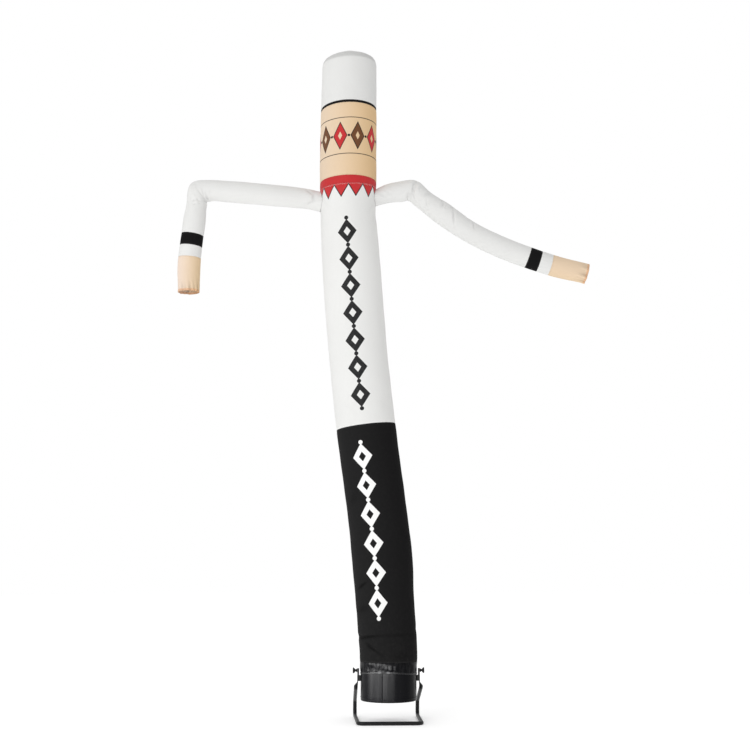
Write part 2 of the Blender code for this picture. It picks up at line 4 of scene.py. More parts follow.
import bmesh
import bpy
import numpy as np
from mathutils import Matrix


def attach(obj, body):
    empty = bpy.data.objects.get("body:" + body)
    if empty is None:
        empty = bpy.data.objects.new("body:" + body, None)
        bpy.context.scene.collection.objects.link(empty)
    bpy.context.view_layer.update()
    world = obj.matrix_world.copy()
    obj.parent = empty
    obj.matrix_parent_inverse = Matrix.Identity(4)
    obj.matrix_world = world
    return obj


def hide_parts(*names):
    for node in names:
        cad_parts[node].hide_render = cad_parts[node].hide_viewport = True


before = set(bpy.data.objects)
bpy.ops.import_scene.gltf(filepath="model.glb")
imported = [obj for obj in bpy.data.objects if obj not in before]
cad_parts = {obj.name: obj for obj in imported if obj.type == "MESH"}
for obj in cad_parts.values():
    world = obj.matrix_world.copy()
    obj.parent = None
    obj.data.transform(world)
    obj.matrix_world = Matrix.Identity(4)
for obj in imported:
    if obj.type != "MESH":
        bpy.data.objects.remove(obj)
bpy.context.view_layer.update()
print("frame loaded")

view = {"place": (-0.5238, -9.987, 1.3), "pitch": 7.96, "turn": -2.4, "lens": 60.48}


def intoScene(name, data):
    made = bpy.data.objects.new(name, data)
    bpy.context.scene.collection.objects.link(made)
    return made


def placeCamera():
    data = bpy.data.cameras.new("camera")
    data.sensor_width, data.lens = 36, view["lens"]
    camera = intoScene("camera", data)
    camera.location = view["place"]
    camera.rotation_euler = (math.radians(90 + view["pitch"]), 0, math.radians(view["turn"]))
    bpy.context.scene.camera = camera


placeCamera()
print("camera placed")


# arithmetic on a material's sockets
def operator(operation, swapped=False):  # a method of Wire that adds one Math node
    if swapped:
        return lambda wire, other: wire.math(operation, other, wire)
    return lambda wire, *others: wire.math(operation, wire, *others)


class Wire:  # one socket of a material
    def __init__(self, paint, socket):
        self.paint, self.socket = paint, socket

    def math(self, operation, *values):
        return self.paint.node("ShaderNodeMath", {"operation": operation}, dict(enumerate(values)))

    def out(self, name):
        return Wire(self.paint, self.socket.node.outputs[name])

    __add__, __radd__ = operator("ADD"), operator("ADD", True)
    __sub__, __rsub__ = operator("SUBTRACT"), operator("SUBTRACT", True)
    __mul__, __rmul__ = operator("MULTIPLY"), operator("MULTIPLY", True)
    __pow__, __rpow__ = operator("POWER"), operator("POWER", True)
    __truediv__, __mod__ = operator("DIVIDE"), operator("FLOORED_MODULO")
    __lt__, __gt__ = operator("LESS_THAN"), operator("GREATER_THAN")
    __abs__, wave = operator("ABSOLUTE"), operator("SINE")
    least, most = operator("MINIMUM"), operator("MAXIMUM")

    def held(self):  # kept between 0 and 1
        return self.least(1.0).most(0.0)


class Paint:  # one new material, or the world, built node by node
    def __init__(self, owner, **fixed):
        if isinstance(owner, str):
            owner = bpy.data.materials.new(owner)
        owner.use_nodes = True
        self.owner, self.tree = owner, owner.node_tree
        for name, value in fixed.items():
            self.tree.nodes["Principled BSDF"].inputs[name.replace("_", " ")].default_value = value

    # a node of any type: its settings come first, then its sockets' values or wires
    def node(self, kind, settings=None, sockets=None, output=0):
        made = self.tree.nodes.new(kind)
        for name, value in (settings or {}).items():
            setattr(made, name, value)
        for name, value in (sockets or {}).items():
            self.join(made.inputs[name], value)
        return Wire(self, made.outputs[output])

    def join(self, socket, value):
        if isinstance(value, Wire):
            self.tree.links.new(value.socket, socket)
        elif isinstance(value, tuple) and socket.type == "RGBA":
            socket.default_value = (*value, 1.0)
        else:
            socket.default_value = value

    def mix(self, share, low, high):  # two colours
        return self.node("ShaderNodeMix", {"data_type": "RGBA"}, {0: share, 6: low, 7: high}, 2)

    def shade(self, colour, factor):  # a colour made lighter or darker
        return self.node("ShaderNodeVectorMath", {"operation": "SCALE"}, {0: colour, "Scale": factor})

    def place(self):  # the point on the object, in metres
        return self.node("ShaderNodeTexCoord", output="Object")

    def cut(self):  # metres round and along the flat cloth
        return self.node("ShaderNodeUVMap", {"uv_map": "cut"})

    def attribute(self, name):
        return self.node("ShaderNodeAttribute", {"attribute_name": name}, output="Fac")

    def split(self, vector):
        parts = self.node("ShaderNodeSeparateXYZ", {}, {0: vector})
        return parts, parts.out("Y"), parts.out("Z")

    def combine(self, x, y, z=0.0):
        return self.node("ShaderNodeCombineXYZ", {}, {0: x, 1: y, 2: z})

    def noise(self, vector, scale, detail=2.0, roughness=0.5):
        sockets = {"Vector": vector, "Scale": scale, "Detail": detail, "Roughness": roughness}
        return self.node("ShaderNodeTexNoise", {}, sockets)

    def cells(self, vector, scale):
        sockets = {"Vector": vector, "Scale": scale}
        return self.node("ShaderNodeTexVoronoi", {"feature": "DISTANCE_TO_EDGE"}, sockets)

    def done(self, colour, roughness, height=None, metallic=None, coat=None):  # height in metres
        shader = self.tree.nodes["Principled BSDF"]
        values = {"Base Color": colour, "Roughness": roughness, "Metallic": metallic, "Coat Weight": coat}
        if height is not None:
            values["Normal"] = self.node("ShaderNodeBump", {}, {"Height": height, "Distance": 1.0})
        for name, value in values.items():
            if value is not None:
                self.join(shader.inputs[name], value)
        return self.owner


def step(value, soft):  # 0 below nought and 1 above it, with a soft edge
    return (value / soft + 0.5).held()


# cloth: a ripstop weave, sewn edges, and whatever is printed on it
clothLook = {
    "square": 0.0062,  # between the thicker threads
    "thread": 0.00056,
    "rows": (0.0030, 0.0088),  # how far from the sewn edge the stitching runs
    "stitch": (0.0044, 0.72, 0.00042),  # its pitch, the share of it that is thread, and half its width
    "hem": 0.0112,  # width of the doubled cloth
    "rough": 0.62,
    "dirtLine": 1.1,  # the height under which cloth gathers dirt from the ground
}
softly = {"Sheen_Weight": 0.06, "Sheen_Roughness": 0.5, "Specular_IOR_Level": 0.28}
fabrics = {  # thread, dirt and how much of it, and the shader's fixed values
    "white": ((0.70, 0.70, 0.69), (0.42, 0.40, 0.37), 0.30, softly),
    "black": ((0.03, 0.03, 0.032), (0.10, 0.095, 0.088), 0.16, {"Specular_IOR_Level": 0.02}),
    "tan": ((0.60, 0.42, 0.25), (0.42, 0.31, 0.20), 0.30, softly),
    "red": ((0.40, 0.03, 0.03), (0.20, 0.05, 0.045), 0.30, softly),
}
inks = {
    "white": (0.80, 0.80, 0.785),
    "sleeve": (0.765, 0.765, 0.752),
    # the crown is painted darker than the side's cloth: painted shade on the hat's top
    "crown": (0.70, 0.70, 0.688),
    "black": (0.0092, 0.0088, 0.0092),
    # lighter inks that the lit sides of the cloth are painted with: painted light
    "blackLitSide": (0.0178, 0.0178, 0.0180),
    "printWhite": (0.93, 0.93, 0.92),
    "printBlack": (0.009, 0.009, 0.010),
    "skin": (0.755, 0.510, 0.260),
    "skinLitSide": (0.785, 0.620, 0.455),
    "palm": (0.770, 0.570, 0.345),
    "palmEndShade": (0.800, 0.400, 0.190),
    "palmLitSide": (0.820, 0.680, 0.580),
    "red": (0.55, 0.022, 0.026),
    "brown": (0.15, 0.055, 0.018),
}


def stitching(u, edge, rows):  # where thread shows in rows along a sewn edge, and where the gaps are
    pitch, filled, half = clothLook["stitch"]
    onRow = abs(edge - rows[0]) < half
    for row in rows[1:]:
        onRow = onRow.most(abs(edge - row) < half)
    along = (u / pitch) % 1
    return onRow * (along < filled), onRow * (along > filled)


def clothPaint(name, fabric, ink, hemShade, printed=None, foldShade=0.08):
    thread, dirt, dirtShare, fixed = fabrics[fabric]
    paint = Paint(name, **fixed)
    u, v, _ = paint.split(paint.cut())
    place = paint.place()
    height = paint.split(place)[2]
    edge, fold = paint.attribute("fromSeam"), paint.attribute("fold")

    # the weave: thin threads both ways, and a thicker one every few millimetres
    square, fine = clothLook["square"], 2 * math.pi / clothLook["thread"]
    ribs, otherRibs = (step(abs((way / square) % 1 - 0.5) - 0.46, 0.03) for way in (u, v))
    ribs = ribs.most(otherRibs)
    weave = (u * fine).wave() * (v * fine).wave()
    stitches, holes = stitching(u, edge, clothLook["rows"])
    hem = step(clothLook["hem"] - edge, 0.0008)

    # colour: printed cloth fades in slow patches, and gathers dirt low down and along its edges
    base = printed(paint, u, v, inks[ink]) if printed else inks[ink]
    patches = paint.noise(place, 2.3, 3.0)
    mottle = paint.noise(place, 41.0, 4.0, 0.62)
    tone = 0.985 + (patches - 0.5) * 0.07 + (mottle - 0.5) * 0.035 + ribs * 0.03 + weave * 0.02
    # painted shade: the fold attribute darkens the cloth in its creases, in the pleats at an arm's open end
    # and in a band below the hat's crown seam
    tone = tone * (1 + hem * (hemShade - 1)) * (1 - holes * 0.55) * (1 - fold * foldShade)
    low = ((clothLook["dirtLine"] - height) / clothLook["dirtLine"]).held() ** 2
    worn = step(0.0016 - edge + (mottle - 0.5) * 0.004, 0.0016)
    smudge = ((mottle - 0.45) * 3 * (0.16 + low) + worn * 0.5 + hem * 0.08).held()
    cloth = paint.mix(smudge * dirtShare, paint.shade(base, tone), dirt)
    cloth = paint.mix(stitches, cloth, thread)

    # relief, in metres: threads, stitches and the small puckers that the stitching draws up
    pull = paint.noise(paint.combine(u * 95, v * 9), 1.0, 2.0)
    puckers = (pull - 0.5) * 0.0016 * (math.e ** (edge * -30.0))
    slack = (paint.noise(paint.combine(u * 9, v * 5), 1.0, 2.0, 0.4) - 0.5) * 0.0022
    relief = ribs * 0.00005 + weave * 0.00001 + stitches * 0.00022 - holes * 0.0002 + puckers + slack
    return paint.done(cloth, clothLook["rough"] + (mottle - 0.5) * 0.12 - ribs * 0.05, relief)


# painted light: the cloth is painted lighter on the side the light falls on, by a wave round it that is
# lowest on that side
def litSidePainted(paint, u, around, shift, depth, colour, litColour):
    return paint.mix((1 - depth + (u / around + shift).wave() * depth).held(), litColour, colour)


def lozenge(u, v, halfWidth, halfHeight):  # metres inside a diamond's outline
    reach = halfWidth * halfHeight / math.hypot(halfWidth, halfHeight)
    return (1 - abs(u) / halfWidth - abs(v) / halfHeight) * reach


def disc(u, v, radius):  # metres inside a circle
    return radius - (u * u + v * v) ** 0.5


def inked(inside):  # 1 inside a printed outline, with an edge 0.8 mm soft
    return step(inside, 0.0008)


trunkCut = 0.23  # the radius that the trunk's cloth is cut to, for metres round
torsoPrint = {"facing": math.radians(-6), "low": 0.125, "pitch": 0.220, "count": 7}
lowerPrint = {"facing": math.radians(-17), "low": 0.335, "pitch": 0.226, "count": 6}
columnLook = {"outer": (0.077, 0.455), "inner": (0.028, 0.17), "disc": 0.0165, "room": (0.03, 0.02)}


# a column of diamonds, each with an open one inside it, and a disc between each two
def columnPrint(paint, u, v, colour, spec, ink):
    low, pitch, look = spec["low"], spec["pitch"], columnLook
    top = low + pitch * spec["count"]
    across, up = u - spec["facing"] * trunkCut, (v - low) % pitch - pitch / 2
    between = (v - low + pitch / 2) % pitch - pitch / 2
    outer, inner = (inked(lozenge(across, up, look[k][0], pitch * look[k][1])) for k in ("outer", "inner"))
    large = outer * (1 - inner) * (v > low) * (v < top)
    wide, beyond = look["room"]
    inRoom = (v > low - beyond) * (v < top + beyond) * (abs(across) < wide)
    small = inked(disc(across, between, look["disc"])) * inRoom
    return paint.mix(large.most(small), colour, inks[ink])


def lowerPrinted(paint, u, v, colour):  # the left of the black cloth is painted lighter too: painted light on its lit side
    cloth = litSidePainted(paint, u, trunkCut, 0.0, 0.5, colour, inks["blackLitSide"])
    return columnPrint(paint, u, v, cloth, lowerPrint, "printWhite")


pennants = {"count": 12, "depth": 0.098, "line": 0.0075}


# the column, and a row of red pennants with black edges that hang from the neck seam
def torsoPrinted(paint, u, v, colour):
    cloth = columnPrint(paint, u, v, colour, torsoPrint, "printBlack")
    pitch = 2 * math.pi * trunkCut / pennants["count"]
    under = (seams["neck"][0] - seams["waist"][0]) - v
    reach = pennants["depth"] * (1 - abs((u / pitch) % 1 - 0.5) * 2)
    inside = (reach - under) / math.hypot(1, pennants["depth"] * 2 / pitch)
    cloth = paint.mix(inked(inside + pennants["line"]), cloth, inks["printBlack"])
    return paint.mix(inked(inside), cloth, inks["red"])


headPrint = {
    "count": 10, "middle": 0.325, "half": (0.060, 0.118), "line": 0.0062, "pearl": (0.017, 0.034),
    "dot": 0.0105, "band": 0.150, "bandHalf": 0.0030,
}


# a ring of tall diamonds in brown and red, with dots between them, inside two thin lines
def headPrinted(paint, u, v, colour):
    # painted light: the skin is painted lighter on its left, where the light falls
    colour = litSidePainted(paint, u, trunkCut, 0.0, 0.55, colour, inks["skinLitSide"])
    pitch = 2 * math.pi * trunkCut / headPrint["count"]
    across, up = (u % pitch) - pitch / 2, v - headPrint["middle"]
    diamond = lozenge(across, up, *headPrint["half"])
    fill = paint.mix(((u / pitch) % 2) > 1, inks["brown"], inks["red"])
    lines = headPrint["bandHalf"] - abs(abs(up) - headPrint["band"])
    dots = disc(pitch / 2 - abs(across), up, headPrint["dot"])
    black = inked(diamond).most(inked(lines)).most(inked(dots))
    cloth = paint.mix(black, colour, inks["printBlack"])
    cloth = paint.mix(inked(diamond - headPrint["line"]), cloth, fill)
    return paint.mix(inked(lozenge(across, up, *headPrint["pearl"])), cloth, colour)


def palmLitPrinted(shift, depth, end):  # painted light: the outer side of the left hand, and the front of the right one, are painted lighter
    def printed(paint, u, v, colour):
        colour = litSidePainted(paint, u, armCut, shift, depth, colour, inks["palmLitSide"])
        return paint.mix(step(v - (end - 0.018), 0.006) * 0.6, colour, inks["palmEndShade"])  # a darker band at the open end: painted shade
    return printed


# surfaces on a grid
def smoothCurve(table, knots, at):
    # a cubic through each row of the table, whose slopes are those between its neighbours; and its slope
    values, knots = np.array(table, float), np.array(knots, float)
    slopes = np.gradient(values, knots, axis=0)
    k = np.clip(np.searchsorted(knots, at, side="right") - 1, 0, len(knots) - 2)
    span = (knots[k + 1] - knots[k])[:, None]
    t = (at - knots[k])[:, None] / span
    low, high, leave, arrive = values[k], values[k + 1], slopes[k] * span, slopes[k + 1] * span
    bend, twist = 3 * (high - low) - 2 * leave - arrive, 2 * (low - high) + leave + arrive
    return low + leave * t + bend * t**2 + twist * t**3, (leave + 2 * bend * t + 3 * twist * t**2) / span


def ripple(turn, seed, low, high, count=10):
    # a sum of sine waves whose whole numbers round, sizes and starts come from the seed; about -1 to 1
    rng = np.random.default_rng(seed)
    waves, starts = rng.integers(low, high + 1, count), rng.uniform(0, 2 * math.pi, count)
    sizes = rng.uniform(0.5, 1.0, count)
    turn = np.asarray(turn)[..., None]
    return (sizes * np.sin(waves * turn + starts)).sum(-1) / math.sqrt((sizes**2).sum())


slackDepth = 0.0009


def slowWaves(along, turn, seed, count=7):
    # slack in the blown-up cloth: a sum of long waves, each a sine round times a sine along
    rng = np.random.default_rng(seed)
    total = 0
    for _ in range(count):
        waves, start, length, shift = rng.integers(1, 7), *rng.uniform((0, 0.18, 0), (6.28, 0.8, 6.28))
        total = total + np.sin(waves * turn + start) * np.sin(2 * math.pi * along / length + shift)
    return total / math.sqrt(count)


def troughs(table, at, turn):
    # each crease is a bell along times a bell round, its middle climbing as it goes round; a negative depth
    # makes a ridge
    depth = np.zeros(np.broadcast(at, turn).shape)
    for where, facing, deep, along, around, slant in table:
        off = (turn - math.radians(facing) + math.pi) % (2 * math.pi) - math.pi
        up = at - where - slant * off
        depth += deep * np.exp(-((up / along) ** 2) - (off / math.radians(around)) ** 2)
    return depth


def creaseShade(table, at, turn, deep=0.0065):  # 1 in the bottom of a deep crease, where the cloth gets painted shade
    return np.clip(troughs(table, at, turn) / deep, 0, 1)


def sewnEdge(distance, turn, seed, deep=0.0022, pucker=0.0011):
    # the stitching draws the cloth in as a bell, the hem stands up as a low step, and puckers die away
    off = np.abs(distance)
    bell, fading = np.exp(-((off / 0.015) ** 2)), np.exp(-off / 0.034)
    hem = 0.0003 * (1 - np.tanh((off - clothLook["hem"]) / 0.0012))
    return deep * bell - hem + pucker * fading * ripple(turn, seed, 18, 64, 14)


def rowsBetween(start, stop, spacing, close=(0.0008, 0.004, 0.008, 0.0105, 0.0125, 0.017, 0.024)):
    # even rows, and close ones by the two sewn edges
    inner = np.arange(start + close[-1] + spacing / 2, stop - close[-1] - spacing / 2, spacing)
    close = [c for c in close if c < (stop - start) / 2 - 0.0005]
    near = [start + c for c in close] + [stop - c for c in close]
    return np.array(sorted([start, stop, *near, *inner]))


def turnsAround(columns, outward=1, start=-math.pi):
    # a row of turns, from the middle of the back, round the front, to the middle of the back
    return np.linspace(start, start + 2 * math.pi, columns + 1)[None, ::outward]


def gridMesh(name, grids):
    # joins grids of points into one mesh; each grid's last column is its first one again
    points, faces, corners, counted = [], [], [], 0
    measured = {"fromSeam": (1.0, []), "fold": (0.0, [])}  # attributes, each with what a plain grid gets
    for grid in grids:
        p = grid["points"]
        rows, columns = p.shape[0], p.shape[1] - 1
        corner = np.arange(rows * columns).reshape(rows, columns)
        corner = np.concatenate([corner, corner[:, :1]], axis=1)
        uv = grid.get("uv", np.zeros((*p.shape[:2], 2)))
        face, cut = (
            np.stack([a[:-1, :-1], a[:-1, 1:], a[1:, 1:], a[1:, :-1]], 2) for a in (corner, uv)
        )
        keep = ~grid.get("hole", np.zeros(face.shape[:2], bool))
        used, face = np.unique(face[keep], return_inverse=True)
        points.append(p[:, :columns].reshape(-1, 3)[used])
        for key, (plain, values) in measured.items():
            values.append(np.broadcast_to(grid.get(key, plain), p.shape[:2])[:, :columns].reshape(-1)[used])
        faces.append(face.reshape(-1, 4) + counted)
        corners.append(cut[keep].reshape(-1, 2))
        counted += len(used)
    mesh = bpy.data.meshes.new(name)
    mesh.from_pydata(np.concatenate(points).tolist(), [], np.concatenate(faces).tolist())
    layer = mesh.uv_layers.new(name="cut")
    layer.data.foreach_set("uv", np.concatenate(corners).astype(np.float32).ravel())
    for key, (_, values) in measured.items():
        attribute = mesh.attributes.new(key, "FLOAT", "POINT")
        attribute.data.foreach_set("value", np.concatenate(values).astype(np.float32))
    return mesh


def weld(mesh, solid):  # merges corners that lie on each other, and turns a solid's faces outward
    shell = bmesh.new()
    shell.from_mesh(mesh)
    bmesh.ops.remove_doubles(shell, verts=shell.verts, dist=2e-6)
    if solid:
        bmesh.ops.recalc_face_normals(shell, faces=shell.faces)
    shell.to_mesh(mesh)
    shell.free()


def makePiece(name, grids, body, node, material, wall=0, sharp=0, welded=False, solid=False):
    mesh = gridMesh(name, grids)
    if welded or solid:
        weld(mesh, solid)
    mesh.shade_smooth()
    if sharp:
        mesh.set_sharp_from_angle(angle=math.radians(sharp))
    mesh.materials.append(material)
    piece = intoScene(name, mesh)
    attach(piece, body)
    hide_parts(node)
    if wall:  # the cloth's thickness, inward
        modifier = piece.modifiers.new("wall", "SOLIDIFY")
        modifier.thickness, modifier.offset = wall, -1
    return piece


def turned(radius, height, turn):  # points on circles about the upright axis
    return np.stack(np.broadcast_arrays(radius * np.sin(turn), -radius * np.cos(turn), height), -1)


def cutFlat(turn, along, radius, fromSeam=None):
    # each point's place on the flat cloth, and its distance to a sewn edge or to the seam behind
    grid = {"uv": np.stack(np.broadcast_arrays(turn * radius, along), -1)}
    if fromSeam is not None:
        grid["fromSeam"] = np.minimum(fromSeam, (math.pi - np.abs(turn)) * radius)
    return grid


# the trunk's cloth
seams = {  # height on the trunk's axis, and how far it is sewn askew, up to the right and in front
    "hem": (0.455, 0.0, 0.0),
    "waist": (2.285, 0.0, 0.0),
    "neck": (4.2305, 0.0145, 0.0),
    "collar": (4.2815, 0.0080, 0.0145),
    "tape": (4.8835, 0.010, 0.014),
    "hat": (4.9045, 0.010, 0.014),
}
gap = 0.0003  # between two pieces that meet at a seam
clothThick = 0.0012
trunk = {
    "flat": 0.229,  # the radius that its flat size is given for
    "shoulder": -0.325,  # how far the axis stands to the side between the arms
    "columns": 160,
    "row": 0.010,  # between two rows of points
    "sections": [  # height, side, back, radius
        (0.4, 0, 0, 0.2222), (0.46, 0, 0, 0.2226), (0.51, 0, 0, 0.2235), (0.65, -0.008, 0.001, 0.2272),
        (0.95, -0.03, 0.008, 0.229), (1.22, -0.045, 0.019, 0.2385), (1.45, -0.068, 0.03, 0.236),
        (1.9, -0.125, 0.05, 0.2355), (2.3, -0.177, 0.062, 0.2375), (2.8, -0.231, 0.064, 0.2355),
        (3.35, -0.278, 0.055, 0.237), (3.7, -0.302, 0.043, 0.2345), (4.07, -0.325, 0.03, 0.2265),
        (4.3, -0.325, 0.024, 0.231), (4.75, -0.323, 0.017, 0.23), (5.25, -0.317, 0.014, 0.2255),
        (5.45, -0.315, 0.014, 0.2255),
    ],
    "creases": [  # height, facing, depth, half its size along and round, slant
        (0.655, -72, 0.0115, 0.018, 24, 0), (0.661, -36, 0.0058, 0.008, 30, 0.01),
        (0.657, 24, 0.003, 0.009, 40, 0), (0.676, -60, -0.003, 0.012, 20, 0.01),
        (0.632, -58, -0.0025, 0.012, 20, -0.01), (0.69, 96, 0.005, 0.024, 20, 0.02),
        (0.566, -36, 0.0085, 0.009, 15, -0.14), (0.586, -31, -0.004, 0.009, 12, -0.16),
        (0.602, -42, 0.0052, 0.009, 11, -0.12), (0.86, -64, 0.004, 0.03, 26, 0.05),
        (1.04, -50, 0.0075, 0.012, 12, 0.1), (1.38, 58, 0.0025, 0.03, 16, -0.12),
        (1.72, -50, 0.0022, 0.04, 14, 0.16), (3.985, 82, 0.005, 0.045, 20, 0.1),
        (4, -80, 0.004, 0.05, 18, -0.1), (4.06, 58, 0.003, 0.02, 12, 0.22),
        (4.1, -56, 0.0026, 0.018, 12, -0.2), (3.9, 64, 0.0022, 0.026, 10, 0.3),
        (2.42, 40, 0.0016, 0.06, 7, 0), (2.39, -22, 0.0014, 0.055, 6, 0), (0.5, 22, 0.0026, 0.03, 5, 0),
        (0.502, 33, 0.0022, 0.03, 4, 0), (0.498, 12, 0.002, 0.028, 4, 0), (0.5, -14, 0.0018, 0.026, 4, 0),
    ],
}


def trunkCurve(heights, first, last):  # columns of the sections, and their slopes, at any heights
    heights = np.asarray(heights, float)
    table = [s[first:last] for s in trunk["sections"]]
    found = smoothCurve(table, [s[0] for s in trunk["sections"]], heights.ravel())
    return heights, *(f.reshape(*heights.shape, last - first) for f in found)


def trunkAxis(heights):
    heights, flat, slope = trunkCurve(heights, 1, 3)
    run = np.concatenate([slope, np.ones((*heights.shape, 1))], -1)
    return np.concatenate([flat, heights[..., None]], -1), run / np.linalg.norm(run, axis=-1, keepdims=True)


def trunkRing(heights, radii, turn):
    # points round the axis, square to it: middle + radius * (sin(turn) * across - cos(turn) * rearward)
    heights, radii, turn = np.broadcast_arrays(heights, radii, turn)
    middle, run = trunkAxis(heights)
    across = np.array([1.0, 0.0, 0.0]) - run * run[..., :1]
    across /= np.linalg.norm(across, axis=-1, keepdims=True)
    rearward = np.cross(run, across)
    radii, turn = radii[..., None], turn[..., None]
    return middle + radii * (np.sin(turn) * across - np.cos(turn) * rearward)


def trunkRadius(heights):
    return trunkCurve(heights, 3, 4)[1][..., 0]


def askew(rows, bottom, top, turn):
    # rows between two seams, tipped as these are sewn: + rise * sin(turn) + front * cos(turn)
    reach = (bottom[0], top[0])
    rise, front = (np.interp(rows, reach, (bottom[k], top[k])) for k in (1, 2))
    return rows + rise * np.sin(turn) + front * np.cos(turn)


def trunkDetail(heights, turn):
    # how far the cloth is drawn in: creases, seams with their puckers, and slow slack
    depth = troughs(trunk["creases"], heights, turn)
    for n, (height, rise, front) in enumerate(seams.values()):
        off = heights - height - rise * np.sin(turn) - front * np.cos(turn)
        depth = depth + sewnEdge(off, turn, 40 + n)
    return depth + slackDepth * slowWaves(heights, turn, 5)


def openArmhole(grid, arm):
    # the arm's root is an oval seen from the side: no faces well inside it, and stitching round it
    points, (_, height, back, *_) = grid["points"], arm["bends"][1]
    off = np.hypot((points[..., 1] - back) / armCloth["depth"], (points[..., 2] - height) / arm["rootHalf"])
    beside = arm["outward"] * (points[..., 0] - trunk["shoulder"]) > 0
    around = np.minimum(grid["fromSeam"], (off - 1) * 0.08)
    grid["fromSeam"] = np.where(beside & (off > 1), around, grid["fromSeam"])
    grid["hole"] |= (beside & (off < 0.70))[:-1, :-1]


def trunkPiece(name, bottom, top, node, material, armholes=()):
    low, high = seams[bottom][0], seams[top][0]
    rows = rowsBetween(low + gap / 2, high - gap / 2, trunk["row"])[:, None]
    turn = turnsAround(trunk["columns"])
    heights = askew(rows, seams[bottom], seams[top], turn)
    points = trunkRing(heights, trunkRadius(heights) - trunkDetail(heights, turn), turn)
    # painted shade in the creases
    grid = {"points": points, "fold": creaseShade(trunk["creases"], heights, turn)}
    grid |= cutFlat(turn, rows - low, trunkCut, np.minimum(rows - low, high - rows))
    grid["hole"] = np.zeros((points.shape[0] - 1, points.shape[1] - 1), bool)
    for arm in armholes:
        openArmhole(grid, arm)
    piece = makePiece(name, [grid], "dancer", node, material, clothThick)
    print(name, "sewn")


# the arms' cloth
arms = {
    "left": {
        "outward": -1,
        "rootHalf": 0.084,
        "hand": 0.284,
        "bends": [  # side, height, back, which way it runs, half its width
            (-0.498, 4.116, 0.028, 168, 0.084), (-0.557, 4.129, 0.027, 168, 0.0815),
            (-0.64, 4.147, 0.025, 170, 0.0795), (-0.74, 4.158, 0.022, 174, 0.084),
            (-0.95, 4.174, 0.014, 176, 0.087), (-1.28, 4.196, 0.004, 177, 0.0868),
            (-1.45, 4.202, 0, 184, 0.0865), (-1.536, 4.185, -0.002, 220, 0.099),
            (-1.552, 4.092, -0.004, 260, 0.083), (-1.568, 3.946, -0.008, 263, 0.0905),
            (-1.584, 3.8, -0.012, 262, 0.0892), (-1.6, 3.64, -0.016, 266, 0.091),
            (-1.602, 3.354, -0.022, 270, 0.0875),
        ],
        "creases": [  # reach, facing (0 is outside the bend, 90 in front), depth, along, round, slant
            (0.99, 150, 0.01, 0.016, 34, 0), (1.045, 88, 0.0036, 0.014, 44, 0.01),
            (1.1, 172, 0.01, 0.016, 30, 0), (1.018, 112, 0.004, 0.008, 24, 0.03),
            (1.122, 98, 0.0058, 0.008, 9, 0.02), (1.138, 76, 0.006, 0.008, 9, -0.02),
            (1.146, 98, -0.004, 0.008, 9, 0.02), (1.164, 84, 0.0056, 0.008, 9, -0.02),
            (1.108, 78, -0.0038, 0.008, 9, 0.02), (1.152, 112, 0.0046, 0.008, 8, 0),
            (1.03, 62, 0.003, 0.008, 20, -0.05), (1.062, 56, 0.003, 0.008, 20, 0.05),
            (1.13, 120, 0.0028, 0.01, 22, -0.05), (0.955, 116, 0.0026, 0.012, 20, 0.05),
            (0.12, 40, 0.004, 0.03, 26, 0.05), (0.156, 54, 0.0068, 0.013, 18, -0.09),
            (0.11, 90, 0.009, 0.015, 26, 0), (0.134, 128, 0.0068, 0.013, 18, 0.08),
            (0.3, 30, 0.0015, 0.05, 10, 0.1), (0.62, 140, 0.0014, 0.07, 12, 0.06),
        ],
    },
    "right": {
        "outward": 1,
        "rootHalf": 0.0635,
        "hand": 0.302,
        "bends": [
            (-0.148, 4.146, 0.028, 21, 0.062), (-0.09, 4.168, 0.028, 21, 0.0635),
            (0, 4.202, 0.026, 16, 0.075), (0.1, 4.219, 0.023, 6, 0.0835), (0.202, 4.228, 0.02, -19, 0.09),
            (0.288, 4.157, 0.017, -40, 0.082), (0.446, 4.04, 0.012, -37, 0.093),
            (0.672, 3.882, 0.005, -31, 0.087), (1.018, 3.717, -0.006, -22, 0.0875),
            (1.238, 3.637, -0.013, -17, 0.086), (1.333, 3.606, -0.016, -15, 0.085),
            (1.618, 3.535, -0.026, -14, 0.0815),
        ],
        "creases": [
            (0.37, 98, 0.012, 0.013, 50, 0.012), (0.34, 132, 0.008, 0.02, 24, 0.02),
            (0.404, 84, -0.0066, 0.012, 24, 0.01), (0.372, 36, 0.005, 0.01, 30, 0),
            (0.335, 176, 0.008, 0.014, 34, 0), (0.392, 120, 0.004, 0.009, 26, 0.05),
            (0.415, 60, 0.003, 0.01, 22, -0.06), (0.41, 132, 0.004, 0.007, 12, 0.05),
            (0.442, 142, 0.0042, 0.007, 10, -0.06), (0.468, 126, -0.0034, 0.007, 9, -0.08),
            (0.485, 58, 0.005, 0.015, 26, -0.03), (0.532, 116, 0.0066, 0.008, 18, 0.06),
            (0.552, 110, -0.0034, 0.009, 14, 0.06), (0.6, 30, 0.004, 0.018, 20, 0.05),
            (0.643, 64, 0.007, 0.012, 15, 0.02), (0.668, 78, -0.004, 0.01, 12, 0.05),
            (0.756, 92, -0.0036, 0.008, 30, 0.063), (0.776, 90, 0.0078, 0.0075, 34, 0.063),
            (0.72, 28, 0.0036, 0.016, 20, -0.05), (0.932, 62, -0.003, 0.008, 16, 0.05),
            (0.95, 62, 0.0064, 0.008, 16, 0.05), (0.87, 20, 0.003, 0.012, 16, 0.04),
            (0.105, 108, 0.005, 0.012, 22, 0.06), (0.132, 92, -0.005, 0.01, 18, 0.08),
            (0.158, 108, 0.0046, 0.011, 18, 0.08), (0.176, 88, -0.0034, 0.009, 14, 0.08),
            (1.05, 120, 0.0014, 0.07, 10, 0.05), (1.3, 60, 0.0014, 0.06, 10, -0.05),
        ],
    },
}
